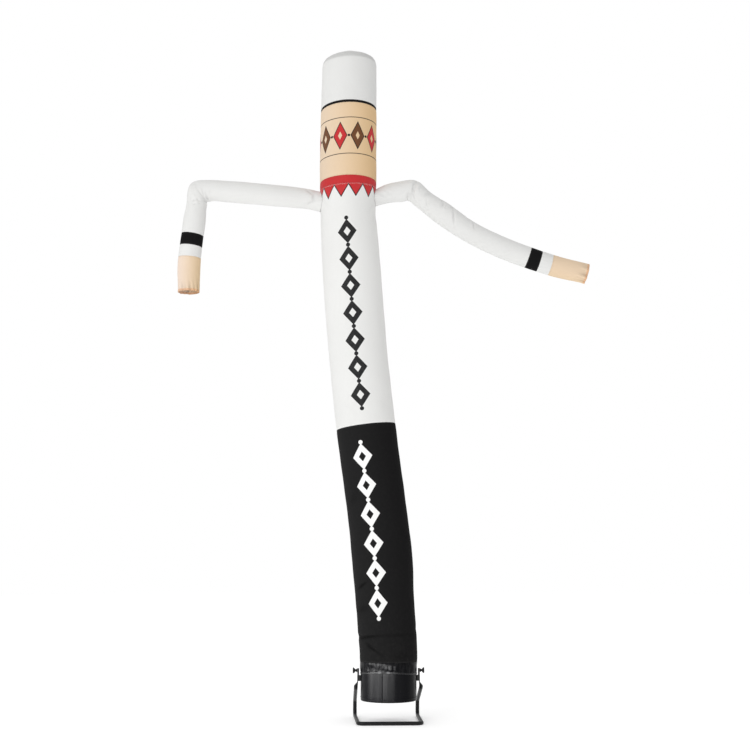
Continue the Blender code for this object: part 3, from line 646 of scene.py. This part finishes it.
armCloth = {
    "columns": 104, "row": 0.006, "depth": 0.086, "wrist": 0.0955, "armband": 0.098, "rootRuns": 0.20,
}
pleats = {"deep": 0.0062, "all": 0.0034, "runs": 0.065, "twist": 1.5, "shade": 0.009}
armCut = 0.0875  # the radius that an arm's cloth is cut to


def armReach(arm):
    middles = np.array([(b[0], b[2], b[1]) for b in arm["bends"]])
    return np.concatenate([[0], np.cumsum(np.linalg.norm(np.diff(middles, axis=0), axis=1))])


def armEnd(arm):
    return float(armReach(arm)[-1])


def armSeams(arm):  # the sewn edges, as reach along the arm
    hand = armEnd(arm) - arm["hand"]
    wrist = hand - armCloth["wrist"]
    return [wrist - armCloth["armband"], wrist, hand, armEnd(arm)]


def endPleats(arm, reach, turn):  # the open end, taken in by its hem
    left = armEnd(arm) - reach
    folds = ripple(turn + pleats["twist"] * left, 90 + arm["outward"], 5, 17, 8)
    return np.exp(-((left / pleats["runs"]) ** 2)) * (pleats["all"] + pleats["deep"] * folds)


def armDetail(arm, reach, turn):
    depth = troughs(arm["creases"], reach, turn)
    for n, seam in enumerate(armSeams(arm)[:3]):
        depth = depth + sewnEdge(reach - seam, turn, 70 + n, 0.0018, 0.0010)
    return depth + endPleats(arm, reach, turn) + slackDepth * slowWaves(reach, turn, 21 + arm["outward"])


def armRing(arm, reach, turn):
    # points round the middle line: up * (half width) * cos(turn) and forward * (half depth) * sin(turn)
    reach, turn = np.broadcast_arrays(reach, turn)
    values, _ = smoothCurve(arm["bends"], armReach(arm), reach.ravel())
    side, height, back, run, width = values.T.reshape(5, *reach.shape)
    run, depth = np.radians(run), armDetail(arm, reach, turn)
    up = arm["outward"] * (width - depth) * np.cos(turn)
    ahead = (armCloth["depth"] - depth) * np.sin(turn)
    return np.stack([side - up * np.sin(run), back - ahead, height + up * np.cos(run)], -1)


def armRoot(arm, turn):
    # the reach at which each line along the arm comes out of the torso's cloth
    reach = np.linspace(0.0, 0.22, 441)[:, None]
    points = armRing(arm, reach, turn)
    heights = points[..., 2]
    for _ in range(2):  # the height on the axis whose ring holds the point
        middle, run = trunkAxis(heights)
        heights = heights + ((points - middle) * run).sum(-1)
    off = np.linalg.norm(points - trunkAxis(heights)[0], axis=-1)
    return reach[np.argmax(off > trunkRadius(heights) + 0.0006, axis=0), 0]


def armPiece(name, arm, start, stop, node, material, root=False):
    turn = turnsAround(armCloth["columns"], arm["outward"])
    start = start + (0 if root else gap / 2)
    line = armRoot(arm, turn[0])[None, :] if root else start + 0 * turn  # where it meets the torso
    first = line.min()
    rows = rowsBetween(first, stop - gap / 2, armCloth["row"])[:, None]
    share = np.clip(1 - (rows - first) / armCloth["rootRuns"], 0, 1) ** 2
    reach = rows + (line - first) * share
    # painted shade in the creases and in the pleats at the open end
    pleated = np.clip(endPleats(arm, reach, turn) / pleats["shade"], 0, 1)
    grid = {"points": armRing(arm, reach, turn), "fold": creaseShade(arm["creases"], reach, turn) + pleated}
    grid |= cutFlat(turn, reach, armCut, np.minimum(rows - first, stop - rows))
    piece = makePiece(name, [grid], "dancer", node, material, clothThick)
    print(name, "sewn")


leftPalm = palmLitPrinted(-math.pi / 2, 0.5, armEnd(arms["left"]))
rightPalm = palmLitPrinted(math.pi, 0.2, armEnd(arms["right"]))
clothTable = {  # material, fabric, ink, how bright its hem is, print, how much shade is painted in its folds
    "sleeve": ("sleeveCloth", "white", "sleeve", 1.06),
    "hat": ("hatCloth", "white", "sleeve", 1.06, None, 0.20),
    # the crown's hem by its seam is painted darker still: painted shade along the seam
    "crown": ("crownCloth", "white", "crown", 0.94),
    "torso": ("torsoPrinted", "white", "white", 1.10, torsoPrinted),
    "black": ("blackCloth", "black", "black", 1.35, None, 0.55),
    "lower": ("lowerPrinted", "black", "black", 1.35, lowerPrinted, 0.55),
    "leftPalm": ("leftTanCloth", "tan", "palm", 1.03, leftPalm, 0.22),
    "rightPalm": ("rightTanCloth", "tan", "palm", 1.03, rightPalm, 0.22),
    "head": ("headPrinted", "tan", "skin", 1.03, headPrinted),
    "red": ("redCloth", "red", "red", 1.04),
}
cloths = {key: clothPaint(*row) for key, row in clothTable.items()}
print("cloth finishes mixed")

trunkPiece("lowerCloth", "hem", "waist", "lower_panel", cloths["lower"])
trunkPiece("torsoCloth", "waist", "neck", "torso_panel", cloths["torso"], arms.values())
trunkPiece("neckCloth", "neck", "collar", "neck_band", cloths["red"])
trunkPiece("headCloth", "collar", "tape", "head_panel", cloths["head"])
trunkPiece("hatTapeCloth", "tape", "hat", "hat_tape", cloths["black"])

for side, arm in arms.items():
    band, wrist, hand, end = armSeams(arm)
    armPiece(side + "SleeveCloth", arm, 0.06, band, side + "_sleeve", cloths["sleeve"], True)
    armPiece(side + "ArmbandCloth", arm, band, wrist, side + "_armband", cloths["black"])
    armPiece(side + "WristCloth", arm, wrist, hand, side + "_wrist", cloths["sleeve"])
    armPiece(side + "HandCloth", arm, hand, end, side + "_hand", cloths[side + "Palm"])

hat = {
    "shoulder": (5.254, 0.010, 0.0), "crown": 5.381, "in": 0.060, "up": 0.095, "turn": math.radians(50),
    "bend": 0.08,  # the mean radius of the rounded shoulder
    "flat": (0.225, 1.055),  # for the side's flat size, and the crown, which is cut larger so that it domes
    "shade": (0.046, 0.010),  # a band of painted shade below the crown seam: how far down it reaches, and how soft its edge is
}


def makeHatSide():
    # it stands straight and then rounds in by a quarter of an ellipse
    low, shoulder = seams["hat"][0], hat["shoulder"][0]
    turn = turnsAround(trunk["columns"])
    straight = rowsBetween(low + gap / 2, shoulder, trunk["row"], (0.0008, 0.004, 0.008, 0.0105, 0.0125))
    turns = np.linspace(0, hat["turn"], 15)[1:]
    turns = np.sort(np.concatenate([turns, hat["turn"] - np.array([0.10, 0.03, 0.008])]))
    rows = np.concatenate([straight, shoulder + hat["up"] * np.sin(turns)])[:, None]
    drawnIn = np.concatenate([np.zeros(len(straight)), hat["in"] * (1 - np.cos(turns))])[:, None]
    along = np.concatenate([straight, shoulder + turns * hat["bend"]])[:, None]
    edge, share = along[-1, 0] - along, np.clip((along - 5.0) / 0.33, 0, 1)
    heights = askew(rows, seams["hat"], hat["shoulder"], turn)
    detail = sewnEdge(edge, turn, 61, 0.0034, 0.0022) + share * 0.0022 * ripple(turn, 62, 2, 7, 6)
    detail = detail + sewnEdge(rows - low, turn, 45) + slackDepth * slowWaves(heights, turn, 5)
    radii = trunkRadius(np.minimum(rows, shoulder)) - drawnIn - detail
    # painted shade in a band below the crown seam
    reach, soft = hat["shade"]
    grid = {"points": trunkRing(heights, radii, turn), "fold": np.clip((reach - edge) / soft, 0, 1)}
    grid |= cutFlat(turn, along - low, trunkCut, np.minimum(along - low, edge))
    cloth = cloths["hat"]
    piece = makePiece("hatSideCloth", [grid], "dancer", "hat_side", cloth, clothThick)
    return rows[-1, 0] + 2 * gap, radii[-1:] - 2 * gap


def makeHatCrown(rimHeight, rimRadius):
    # a low dome on the side's rim, drawn in beside the seam
    turn = turnsAround(trunk["columns"])
    share = np.array([0, 0.006, 0.02, 0.045, *np.linspace(0.08, 1, 17)])[:, None]
    heights = rimHeight + (hat["crown"] - 0.0006 - rimHeight) * (1 - (1 - share) ** 3)
    heights = heights - 0.0040 * np.exp(-((share * 0.2) / 0.010) ** 2) * np.minimum(share / 0.02, 1)
    heights = heights + 0.0016 * ripple(turn, 63, 3, 9, 6) * share * (1 - share) * 2
    heights = heights + hat["shoulder"][1] * (1 - share) * np.sin(turn)
    radii = rimRadius * (1 - share)
    uv = np.stack([radii * np.sin(turn), radii * np.cos(turn)], -1)
    grid = {"points": trunkRing(heights, radii, turn), "uv": uv, "fromSeam": share * rimRadius}
    cloth, name = cloths["crown"], "hatCrownCloth"
    crown = makePiece(name, [grid], "dancer", "hat_crown", cloth, clothThick, welded=True)
    print("hat sewn")


makeHatCrown(*makeHatSide())

# the cuff, which is tied on the drum by a strap
cuff = {
    "radius": 0.2205,
    "least": 0.2180,  # its inside clears the drum
    "thick": 0.0010,
    "flat": 0.095,
    "cut": 0.22,  # the radius for metres round
    "top": 0.080,
    "bottom": -0.0100,
    "tied": (0.0072, 0.0025),  # how far above the strap's middle it is drawn in, and by how much
    "fuller": (0.0046, 0.022),  # how much it swells out again above, and over what height
    "gathers": (0.0013, 0.012, 0.018),  # upright folds: depth, where they are deepest, how they fade
    "strap": {"low": 0.364, "rise": 0.022, "peak": math.radians(-12), "spread": math.radians(52)},
    "rows": [  # height above the strap's middle, how far drawn in, and how deep its slow waves are
        (-0.01, 0.0022, 0), (-0.0072, 0.0025, 0), (0.0072, 0.0025, 0), (0.02, 0.0002, 0.001),
        (0.045, -0.0004, 0.0012), (0.08, -0.0021, 0),
    ],
    "dents": [  # height above the strap's middle, facing, depth, half its size along and round, slant
        (0.03, -37, 0.0022, 0.02, 4, 0.05), (0.042, -27, 0.002, 0.024, 3.5, -0.08),
        (0.028, -19, 0.0024, 0.02, 3.5, 0.06), (0.04, -10, 0.002, 0.026, 4, -0.05),
        (0.03, -2, 0.0022, 0.02, 3.5, 0.07), (0.044, 7, 0.0018, 0.024, 4, -0.06),
        (0.03, 20, 0.0016, 0.022, 5, 0.04), (0.034, -52, 0.0018, 0.022, 5, 0.05),
        (0.036, -70, 0.0016, 0.022, 6, 0.03), (0.03, 42, 0.0016, 0.022, 6, 0.03),
        (0.036, 66, 0.0016, 0.02, 7, 0.02), (0.032, 92, 0.0018, 0.022, 7, 0),
        (0.036, 122, 0.0018, 0.02, 8, 0.02), (0.034, 160, 0.002, 0.02, 9, 0.02),
        (0.032, -104, 0.0018, 0.02, 8, -0.02), (0.038, -142, 0.0018, 0.02, 9, 0.02),
    ],
}


def strapHeight(turn):
    # low at the sides and behind, and a bell that rises towards the buckle in front
    s = cuff["strap"]
    off = (turn - s["peak"] + math.pi) % (2 * math.pi) - math.pi
    return s["low"] + s["rise"] * np.exp(-((off / s["spread"]) ** 2))


def coatedPaint():  # coated cloth: a glossy skin that shows the weave faintly and breaks in small facets
    paint = Paint("coatedCloth", Specular_IOR_Level=0.03, Coat_Roughness=0.22, Coat_IOR=1.30)
    u, v, _ = paint.split(paint.cut())
    weave = (u * 5200).wave() * (v * 5200).wave()
    crumple = paint.noise(paint.combine(u * 70, v * 16), 1.0, 3.0, 0.55)
    facets = paint.cells(paint.combine(u * 46, v * 14), 1.0)
    stitches, _ = stitching(u, paint.attribute("fromSeam"), (0.0050,))
    scuffs = step(paint.noise(paint.place(), 60.0, 5.0, 0.7) - 0.62, 0.06)
    colour = paint.shade((0.0020, 0.0020, 0.0024), 0.9 + crumple * 0.3)
    colour = paint.mix(scuffs * 0.12, colour, (0.04, 0.04, 0.04))
    colour = paint.mix(stitches, colour, fabrics["black"][0])
    relief = (crumple - 0.5) * 0.0014 + facets.least(0.35) * 0.0006 + weave * 0.000008 + stitches * 0.0002
    gloss = ((crumple - 0.42) * 1.6).held() * 0.9
    return paint.done(colour, 0.28 + (crumple - 0.5) * 0.12 + scuffs * 0.25, relief, coat=gloss)


def makeCuff():
    # its edge follows the strap, which draws it in; above it the cloth swells in slow waves up to the hem
    turn, top, bottom = turnsAround(drum["columns"]), cuff["top"], cuff["bottom"]
    off = np.sort(np.concatenate([np.linspace(bottom, top, 40), [bottom + 0.0006, top - 0.0008]]))[:, None]
    knots, (tied, sunk), (fuller, swell) = np.array(cuff["rows"]), cuff["tied"], cuff["fuller"]
    above = off > tied
    drawn, waves = (np.interp(off, knots[:, 0], knots[:, k]) for k in (1, 2))
    drawn = np.where(above, sunk - fuller * (1 - np.exp(-((off - tied) / swell))), drawn)
    share = (off / top) ** 2 * (off > 0)
    heights = (strapHeight(turn) + off) * (1 - share) + (seams["hem"][0] - gap / 2) * share
    deep, middle, fading = cuff["gathers"]
    fold = np.exp(-np.abs(off - middle) / fading) * above
    radii = cuff["radius"] - drawn + waves * np.sin(5 * turn + 90 * off)
    radii = radii + deep * fold * ripple(turn, 31, 14, 44, 12) - troughs(cuff["dents"], off, turn) * above
    points = trunkRing(heights, np.maximum(radii, cuff["least"]), turn)
    grid = {"points": points, "fromSeam": off - bottom, **cutFlat(turn, heights, cuff["cut"])}
    cloth, wall = coatedPaint(), cuff["thick"]
    piece = makePiece("cuffCloth", [grid], "dancer", "fan_cuff", cloth, wall)
    print("cuff tied on")


def webbingPaint():
    paint = Paint("webbing", Specular_IOR_Level=0.22)
    u, v, _ = paint.split(paint.cut())
    ribs = (u * (2 * math.pi / 0.0022)).wave() * (v * (2 * math.pi / 0.0020)).wave()
    border = step(abs(v) - 0.0046, 0.0004)
    wear = paint.noise(paint.place(), 90.0, 4.0, 0.6)
    colour = paint.shade((0.0045, 0.0045, 0.005), 0.85 + ribs * 0.18 + wear * 0.4)
    colour = paint.mix(border * (wear - 0.4).held(), colour, (0.05, 0.05, 0.05))
    return paint.done(colour, 0.30 + (wear - 0.5) * 0.3, ribs * 0.00010 - border * 0.0002)


strap = {"half": 0.006, "thick": 0.0018}
strapInner = cuff["radius"] - cuff["tied"][1] + gap  # a hair clear of the cuff
buckle = {"half": 0.008, "from": math.radians(-25.7), "metal": 0.003, "ends": (0.12, 0.88)}


def makeStrap():
    # a flat band whose middle follows the strap's line, its edges a little rounded
    turn = turnsAround(drum["columns"])
    share = np.array([-1, -0.9, -0.5, 0, 0.5, 0.9, 1])[:, None]
    across, radius = share * strap["half"], strapInner + strap["thick"]
    points = trunkRing(strapHeight(turn) + across, radius - 0.0005 * np.abs(share) ** 6 + 0 * turn, turn)
    grid, wall = {"points": points, **cutFlat(turn, across, radius)}, strap["thick"] - 0.0002
    piece = makePiece("strapBand", [grid], "dancer", "cinch_strap", webbingPaint(), wall)
    print("strap drawn tight")


# paint or plating with a fine orange peel, scratches, and bare metal where noise passes the wear's level;
# wear, painted shade and coat may be functions of the place
def metalPaint(name, colour, rough, scratch, bare, wear, metallic=0.0, paintedShade=None, coat=None, **fixed):
    paint = Paint(name, **fixed)
    place = paint.place()
    x, y, z = paint.split(place)
    peel, cloud = paint.noise(place, 420.0, 2.0), paint.noise(place, 9.0, 3.0)
    lines = paint.noise(paint.combine(x * 30, y * 30, z * 900), 1.0, 2.0) - 0.5
    spots = paint.noise(place, 130.0, 5.0, 0.72)
    rubbed = step(spots - (wear(x, z) if callable(wear) else wear), 0.05)
    tone = 0.86 + cloud * 0.28 + lines * scratch
    tone = paint.mix(rubbed, paint.shade(colour, tone * paintedShade(x) if paintedShade else tone), bare)
    rough = rough + (cloud - 0.5) * 0.14 + lines * scratch * 0.4 + rubbed * 0.12
    relief = (peel - 0.5) * 0.00004 - rubbed * 0.00005
    metal = metallic + rubbed * (1 - metallic)
    return paint.done(tone, rough, relief, metal, coat(paint, x, y, z) if coat else None)


def superRound(turn, power):
    # a rounded rectangle: each of cosine and sine is raised to 2/power, keeping its sign
    c, s = np.cos(turn), np.sin(turn)
    return np.sign(c) * np.abs(c) ** (2 / power), np.sign(s) * np.abs(s) ** (2 / power)


def makeBuckle():
    # a cast slide: a rounded bar section carried along the strap, thicker at its two ends, and closed there
    share = (1 - np.cos(np.linspace(0, math.pi, 41)))[:, None] / 2
    turn = turnsAround(32, start=0)
    end = (1 - np.abs(2 * share - 1) ** 7) ** (1 / 5)
    high, deep = superRound(turn, 5)
    bumps = sum(np.exp(-((share - at) / 0.075) ** 2) for at in buckle["ends"])
    thick = buckle["metal"] * (0.50 + 0.49 * bumps)
    radius = strapInner + gap + strap["thick"] + thick / 2 + thick / 2 * deep * end
    middle = float(strapHeight(cuff["strap"]["peak"]))
    height = middle + buckle["half"] * (0.86 + 0.14 * bumps) * high * end
    grid = {"points": trunkRing(height, radius, buckle["from"] * (1 - share) + 0 * turn)}
    nickel = metalPaint(
        "buckleNickel", (0.22, 0.22, 0.225), 0.30, 0.3, (0.15, 0.14, 0.13), 0.70, 1.0,
        paintedShade=lambda x: 0.35 + 0.65 * step(abs(x + 0.048) - 0.022, 0.012)  # painted shade: darker between its two raised ends
    )
    makePiece("buckleSlide", [grid], "dancer", "strap_buckle", nickel, solid=True)
    print("buckle cast")


# the blower
drum = {
    "radius": 0.2165, "wall": 0.004, "bottom": 0.160, "top": 0.446, "lip": 0.006, "bead": 0.0015,
    "lap": math.radians(-16), "lapRise": 0.0009, "lock": (0.0030, 0.0025), "columns": 192,
}


def drumStreaks(paint, x, y, z):  # the paint's gloss runs down in uneven streaks
    run = paint.noise(paint.combine(x * 26, y * 26, z * 1.6), 1.0, 3.0, 0.6)
    return ((run - 0.40) * 1.1).held() * 0.5


def makeDrum():
    # the wall's outline is turned about the axis; where the sheet laps over itself its edge stands out
    r, low, high = drum["radius"], drum["bottom"], drum["top"]
    inner, lip = r - drum["wall"], r - drum["lip"]
    arc = np.linspace(-math.pi / 2, math.pi / 2, 9)
    outline = np.array([
        (inner, high), (inner + 0.0006, high), (r - 0.0006, high), (r, high - 0.0008),
        (r, 0.36), (r, 0.28), (r, low + 0.036),
        *((r + drum["bead"] * math.cos(a), low + 0.027 - 0.006 * math.sin(a)) for a in arc),
        (r, low + 0.018), (r, low + 0.007), (r - 0.0003, low + 0.0045), (r - 0.0012, low + 0.0018),
        (r - 0.003, low + 0.0004), (lip + 0.0008, low), (lip, low + 0.0008), (lip, low + 0.009),
        (lip + 0.0006, low + 0.011), (inner, low + 0.015), (inner, 0.28), (inner, 0.36), (inner, high),
    ])
    radii, heights = outline[:, :1], outline[:, 1:]
    closer = drum["lap"] + np.linspace(-0.009, 0.009, 19) / r
    turn = np.sort(np.concatenate([turnsAround(drum["columns"])[0], closer]))[None, :]
    outer = (radii > r - 0.0032) & (heights < high - 0.0001)
    off = (drum["lap"] - turn) * r
    lap = drum["lapRise"] * (off > 0) * np.exp(-np.maximum(off - 0.004, 0) / 0.018)
    rise, half = drum["lock"]  # the folded lock seam stands up as a narrow bell
    points = turned(radii + (lap + rise * np.exp(-((off / half) ** 2))) * outer, heights, turn)
    gloss = metalPaint(
        "drumPaint", (0.0022, 0.0022, 0.0027), 0.30, 0.5, (0.05, 0.05, 0.052),
        lambda x, z: 0.76 - 0.06 * step(0.172 - z, 0.006), coat=drumStreaks,
        Specular_IOR_Level=0.05, Coat_Roughness=0.24, Coat_IOR=1.28
    )
    grid = {"points": points}
    makePiece("blowerDrum", [grid], "dancer", "blower_drum", gloss, sharp=40, solid=True)
    print("drum rolled")


guard = {
    "rings": (0.2069, 0.167, 0.127, 0.087), "wire": 0.0066, "height": 0.004, "hub": 0.050, "bottom": 0.164,
}


def makeGuard():
    # rings of flattened wire, each an oval turned about the axis, on two crossed bars and a low domed hub
    section, turn = turnsAround(14, start=0).T, turnsAround(96)
    halfWire, halfHeight = guard["wire"] / 2, guard["height"] / 2
    middle = guard["bottom"] + halfHeight
    wide, tall = superRound(section, 3)
    parts = [turned(r + halfWire * wide, middle + halfHeight * tall, turn) for r in guard["rings"]]
    for angle in (math.radians(45), math.radians(135)):
        along = np.array([-1, -1, -0.97, -0.5, 0, 0.5, 0.97, 1, 1])[:, None] * guard["rings"][0]
        size = np.array([0, 1, 1, 1, 1, 1, 1, 1, 0])[:, None]
        across, z = halfWire * size * wide.T, middle + (halfHeight - 0.0004) * size * tall.T
        c, s = math.cos(angle), math.sin(angle)
        parts.append(np.stack([along * c - across * s, along * s + across * c, z], -1))
    share = np.array([0, 0.4, 0.8, 0.95, 1, 1, 0.95, 0.6, 0])[:, None]
    level = np.array([0.5, 0.48, 0.40, 0.2, 0.0, -0.3, -0.46, -0.5, -0.5])[:, None]
    parts.append(turned(guard["hub"] * share, middle + level * (guard["height"] - 0.0006), turn))
    grids = [{"points": p} for p in parts]
    satin = metalPaint("guardWire", (0.028, 0.028, 0.030), 0.42, 0.3, (0.16, 0.16, 0.16), 0.72, 0.2)
    makePiece("intakeGuard", grids, "dancer", "intake_guard", satin, sharp=50, solid=True)
    print("guard welded")


knob = {
    "stem": [  # radius, and how far out
        (0, 0.23), (0.0054, 0.23), (0.006, 0.2306), (0.006, 0.243), (0.006, 0.2433), (0.0128, 0.2433),
        (0.0135, 0.244), (0.0135, 0.2492), (0.0129, 0.25), (0.0098, 0.2506), (0.0087, 0.253),
        (0.0085, 0.256), (0.0085, 0.262), (0.007, 0.264), (0, 0.2642),
    ],
    "wing": (0.2590, 0.2780), "half": 0.026, "thick": 0.010, "waist": 0.45,
    "turns": {"left": 4, "right": -17},
}


def makeKnob(side, outward, material):
    # a turned stem with a fluted collar, and a flat wing whose rounded section grows wider outwards
    stem = np.array(knob["stem"])
    turn = turnsAround(48, start=0)
    r = stem[:, :1] * (1 - 0.05 * (stem[:, :1] > 0.0125) * (0.5 + 0.5 * np.cos(12 * turn)))
    share = (1 - np.cos(np.linspace(0, math.pi, 25)))[:, None] / 2
    (low, high), waist = knob["wing"], knob["waist"]
    rounded = (1 - np.abs(2 * share - 1) ** 5) ** (1 / 3)
    half = knob["half"] * (waist + (1 - waist) * share**0.8)
    tall, wide = superRound(turn, 3.2)
    thick = knob["thick"] / 2 * (1 - 0.22 * np.exp(-((tall / 0.5) ** 2)))
    wing = (low + (high - low) * share, thick * rounded * wide, half * rounded * tall)
    a, grids = math.radians(knob["turns"][side]), []
    for x, y, z in ((stem[:, 1:], r * np.cos(turn), r * np.sin(turn)), wing):
        y, z = y * math.cos(a) - z * math.sin(a), y * math.sin(a) + z * math.cos(a)
        places = np.broadcast_arrays(outward * x, outward * y, z + stand["pivot"])
        grids.append({"points": np.stack(places, -1)})
    name, body, node = side + "KnobMoulding", "knob_" + side, side + "_knob"
    makePiece(name, grids, body, node, material, sharp=40, solid=True)


def knobPaint():  # moulded plastic with a fine matt grain, polished where fingers turn it
    paint = Paint("knobPlastic", Specular_IOR_Level=0.2)
    place = paint.place()
    grain, handled = paint.noise(place, 900.0, 2.0), paint.noise(place, 45.0, 3.0)
    colour = paint.shade((0.005, 0.005, 0.0055), 0.8 + handled * 0.5)
    return paint.done(colour, 0.50 - step(handled - 0.5, 0.2) * 0.14, (grain - 0.5) * 0.00006)


# the stand, one tube whose ends are pressed flat round the pivots
stand = {
    "tube": 0.015, "pivot": 0.385,
    "ear": (0.240, 0.003, 0.017),  # how far out, half its thickness, half its width
    "pressed": (0.262, 0.040),  # where the tube starts to flatten, and over what height
    "corners": [  # side, back, height, bend
        (0.2535, 0, 0.402, 0), (0.2535, 0.004, 0.262, 0.05), (0.243, 0.262, 0.128, 0.05),
        (0.243, 0.275, 0.0138, 0.042), (0.241, -0.237, 0.0138, 0.045), (-0.241, -0.237, 0.0138, 0.045),
        (-0.2535, 0.275, 0.0138, 0.042), (-0.2535, 0.262, 0.128, 0.05), (-0.2535, 0.004, 0.262, 0.05),
        (-0.2535, 0, 0.402, 0),
    ],
}


def roundedPath(corners, spacing):
    # straight runs whose corners are arcs of each corner's radius, then stepped off evenly
    places = [np.array(c[:3]) for c in corners]
    path = [places[0]]
    for before, here, after, corner in zip(places, places[1:], places[2:], corners[1:]):
        back, ahead = before - here, after - here
        back, ahead = back / np.linalg.norm(back), ahead / np.linalg.norm(ahead)
        half = math.acos(np.clip(back @ ahead, -1, 1)) / 2
        start, stop = (here + way * corner[3] / math.tan(half) for way in (back, ahead))
        middle = here + (back + ahead) / np.linalg.norm(back + ahead) * corner[3] / math.sin(half)
        sweep, share = math.pi - 2 * half, np.linspace(0, 1, 15)[:, None]
        path += list(middle + ((start - middle) * np.sin((1 - share) * sweep)
                               + (stop - middle) * np.sin(share * sweep)) / math.sin(sweep))
    path = np.array([*path, places[-1]])
    reach = np.concatenate([[0], np.cumsum(np.linalg.norm(np.diff(path, axis=0), axis=1))])
    at = np.linspace(0, reach[-1], int(reach[-1] / spacing) + 1)
    return np.stack([np.interp(at, reach, path[:, k]) for k in range(3)], -1)


def makeStand():
    # a round section is carried along the path, its frame turned as little as it can be;
    # near each ear the section turns into a thin flat one
    path = roundedPath(stand["corners"], 0.006)
    top = stand["corners"][0][2] - np.array([0, 0.0006, 0.0018, 0.0036])
    first, last = (np.array([(path[k, 0], 0, z) for z in top]) for k in (0, -1))
    path = np.concatenate([first, path[1:-1], last[::-1]])
    run = np.gradient(path, axis=0)
    run /= np.linalg.norm(run, axis=1, keepdims=True)
    frames, thin = [], np.array([1.0, 0.0, 0.0])
    for tangent in run:  # each station's frame follows from the one before
        thin = thin - tangent * (thin @ tangent)
        thin = thin / np.linalg.norm(thin)
        frames.append((thin, np.cross(tangent, thin)))
    thin, wide = (np.array([f[k] for f in frames])[:, None, :] for k in (0, 1))
    (x, halfThin, halfWide), (start, span), height = stand["ear"], stand["pressed"], path[:, 2]
    upright = (path[:, 1] < 0.02) & (height > 0.2)
    flat = np.where(upright, np.clip((height - start) / span, 0, 1), 0.0)
    flat = flat * flat * (3 - 2 * flat)
    above = np.maximum(height - stand["pivot"], 0)  # the ear's end is half a disc
    rounding = np.where(upright, np.sqrt(np.clip(halfWide**2 - above**2, 0, None)) / halfWide, 1.0)
    path[:, 0] += (x - stand["corners"][0][0]) * flat * np.sign(path[:, 0])
    a = (stand["tube"] * (1 - flat) + halfThin * flat) * np.where(rounding < 0.35, rounding / 0.35, 1.0)
    b = (stand["tube"] * (1 - flat) + halfWide * flat) * rounding
    turn = turnsAround(32, start=0)
    circle, square, flat = superRound(turn, 2.0), superRound(turn, 4.5), flat[:, None]
    c, s = (square[k] * flat + circle[k] * (1 - flat) for k in (0, 1))
    points = path[:, None, :] + thin * (a[:, None] * c)[..., None] + wide * (b[:, None] * s)[..., None]
    points[..., 2] = np.maximum(points[..., 2], 0.0)
    satin = metalPaint(
        "standPaint", (0.0045, 0.0045, 0.005), 0.36, 0.25, (0.24, 0.24, 0.24),
        # more bare metal where the tube meets the floor and at the pressed ears; the light bare ears are
        # partly wear and partly a painted highlight
        lambda x, z: 0.76 - 0.16 * step(0.004 - z, 0.004) - 0.30 * step(z - 0.335, 0.05),
        Specular_IOR_Level=0.28
    )
    grid = {"points": points}
    makePiece("standTube", [grid], "stand", "stand_frame", satin, solid=True)
    print("stand bent")


makeCuff()
makeStrap()
makeBuckle()
makeDrum()
makeGuard()
knobMaterial = knobPaint()
makeKnob("left", -1, knobMaterial)
makeKnob("right", 1, knobMaterial)
print("knobs moulded")
makeStand()

bracketPaint = metalPaint(
    "bracketPaint", (0.007, 0.007, 0.0075), 0.38, 0.3, (0.18, 0.18, 0.18),
    lambda x, z: 0.74 - 0.10 * step(0.0025 - abs(abs(x) - 0.2367), 0.002), 0.1
)
for node in ("left_bracket", "right_bracket"):
    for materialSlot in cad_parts[node].material_slots:
        materialSlot.material = bracketPaint
print("brackets painted")

# floor, lights and world
studio = {
    "floor": (0.93, 0.93, 0.93), "glow": 0.31, "key": 192, "sheen": 275, "world": 0.585, "zenith": 0.42,
}


def makeFloor():
    r = np.array([0.0, 1.0, 4.0, 30.0])[:, None]
    mesh = gridMesh("floor", [{"points": turned(r, -0.0002, turnsAround(96, start=0))}])
    weld(mesh, False)
    paint = Paint("floorPaper", Specular_IOR_Level=0.1, Emission_Strength=studio["glow"])
    tone = paint.noise(paint.place(), 14.0, 3.0)
    mesh.materials.append(paint.done(paint.shade(studio["floor"], 0.995 + tone * 0.01), 0.9))
    floor = intoScene("floor", mesh)


def areaLight(name, place, aim, size, watts, only=()):
    data = bpy.data.lights.new(name, "AREA")
    data.shape, data.size, data.size_y, data.energy = "RECTANGLE", *size, watts
    lamp = intoScene(name, data)
    lamp.visible_camera = False
    x, y, z = np.array(aim) - np.array(place)
    lamp.location = place
    lamp.rotation_euler = (math.atan2(math.hypot(x, y), -z), 0, math.atan2(-x, y))
    if only:  # a light for the glossy pieces alone
        lit = bpy.data.collections.new(name + "Pieces")
        for piece in only:
            lit.objects.link(bpy.data.objects[piece])
        lamp.light_linking.receiver_collection = lit


def lightWorld():
    # pure white to the camera, and a softer dome of light that is brighter on the left
    world = bpy.data.worlds.new("studio")
    bpy.context.scene.world = world
    paint = Paint(world)
    x, y, z = paint.split(paint.node("ShaderNodeTexCoord", output="Generated"))
    level = studio["world"] * (1.0 - x * 0.15 - y * 0.03) + studio["zenith"] * z * z
    seen = paint.node("ShaderNodeLightPath", output="Is Camera Ray")
    background = paint.tree.nodes["Background"]
    background.inputs["Color"].default_value = (1.0, 1.0, 1.0, 1.0)
    paint.join(background.inputs["Strength"], level * (1 - seen) + seen)


makeFloor()
areaLight("key", (-5.4, -7.7, 3.8), (-0.2, 0, 2.4), (4.0, 5.5), studio["key"])
areaLight(
    "sheen", (-1.085, -1.968, 0.30), (0.355, -0.308, 0.30), (6.1, 0.6), studio["sheen"],
    ["blowerDrum", "cuffCloth", "strapBand"]
)
lightWorld()
bpy.context.scene.view_settings.view_transform = "Standard"
print("studio lit")
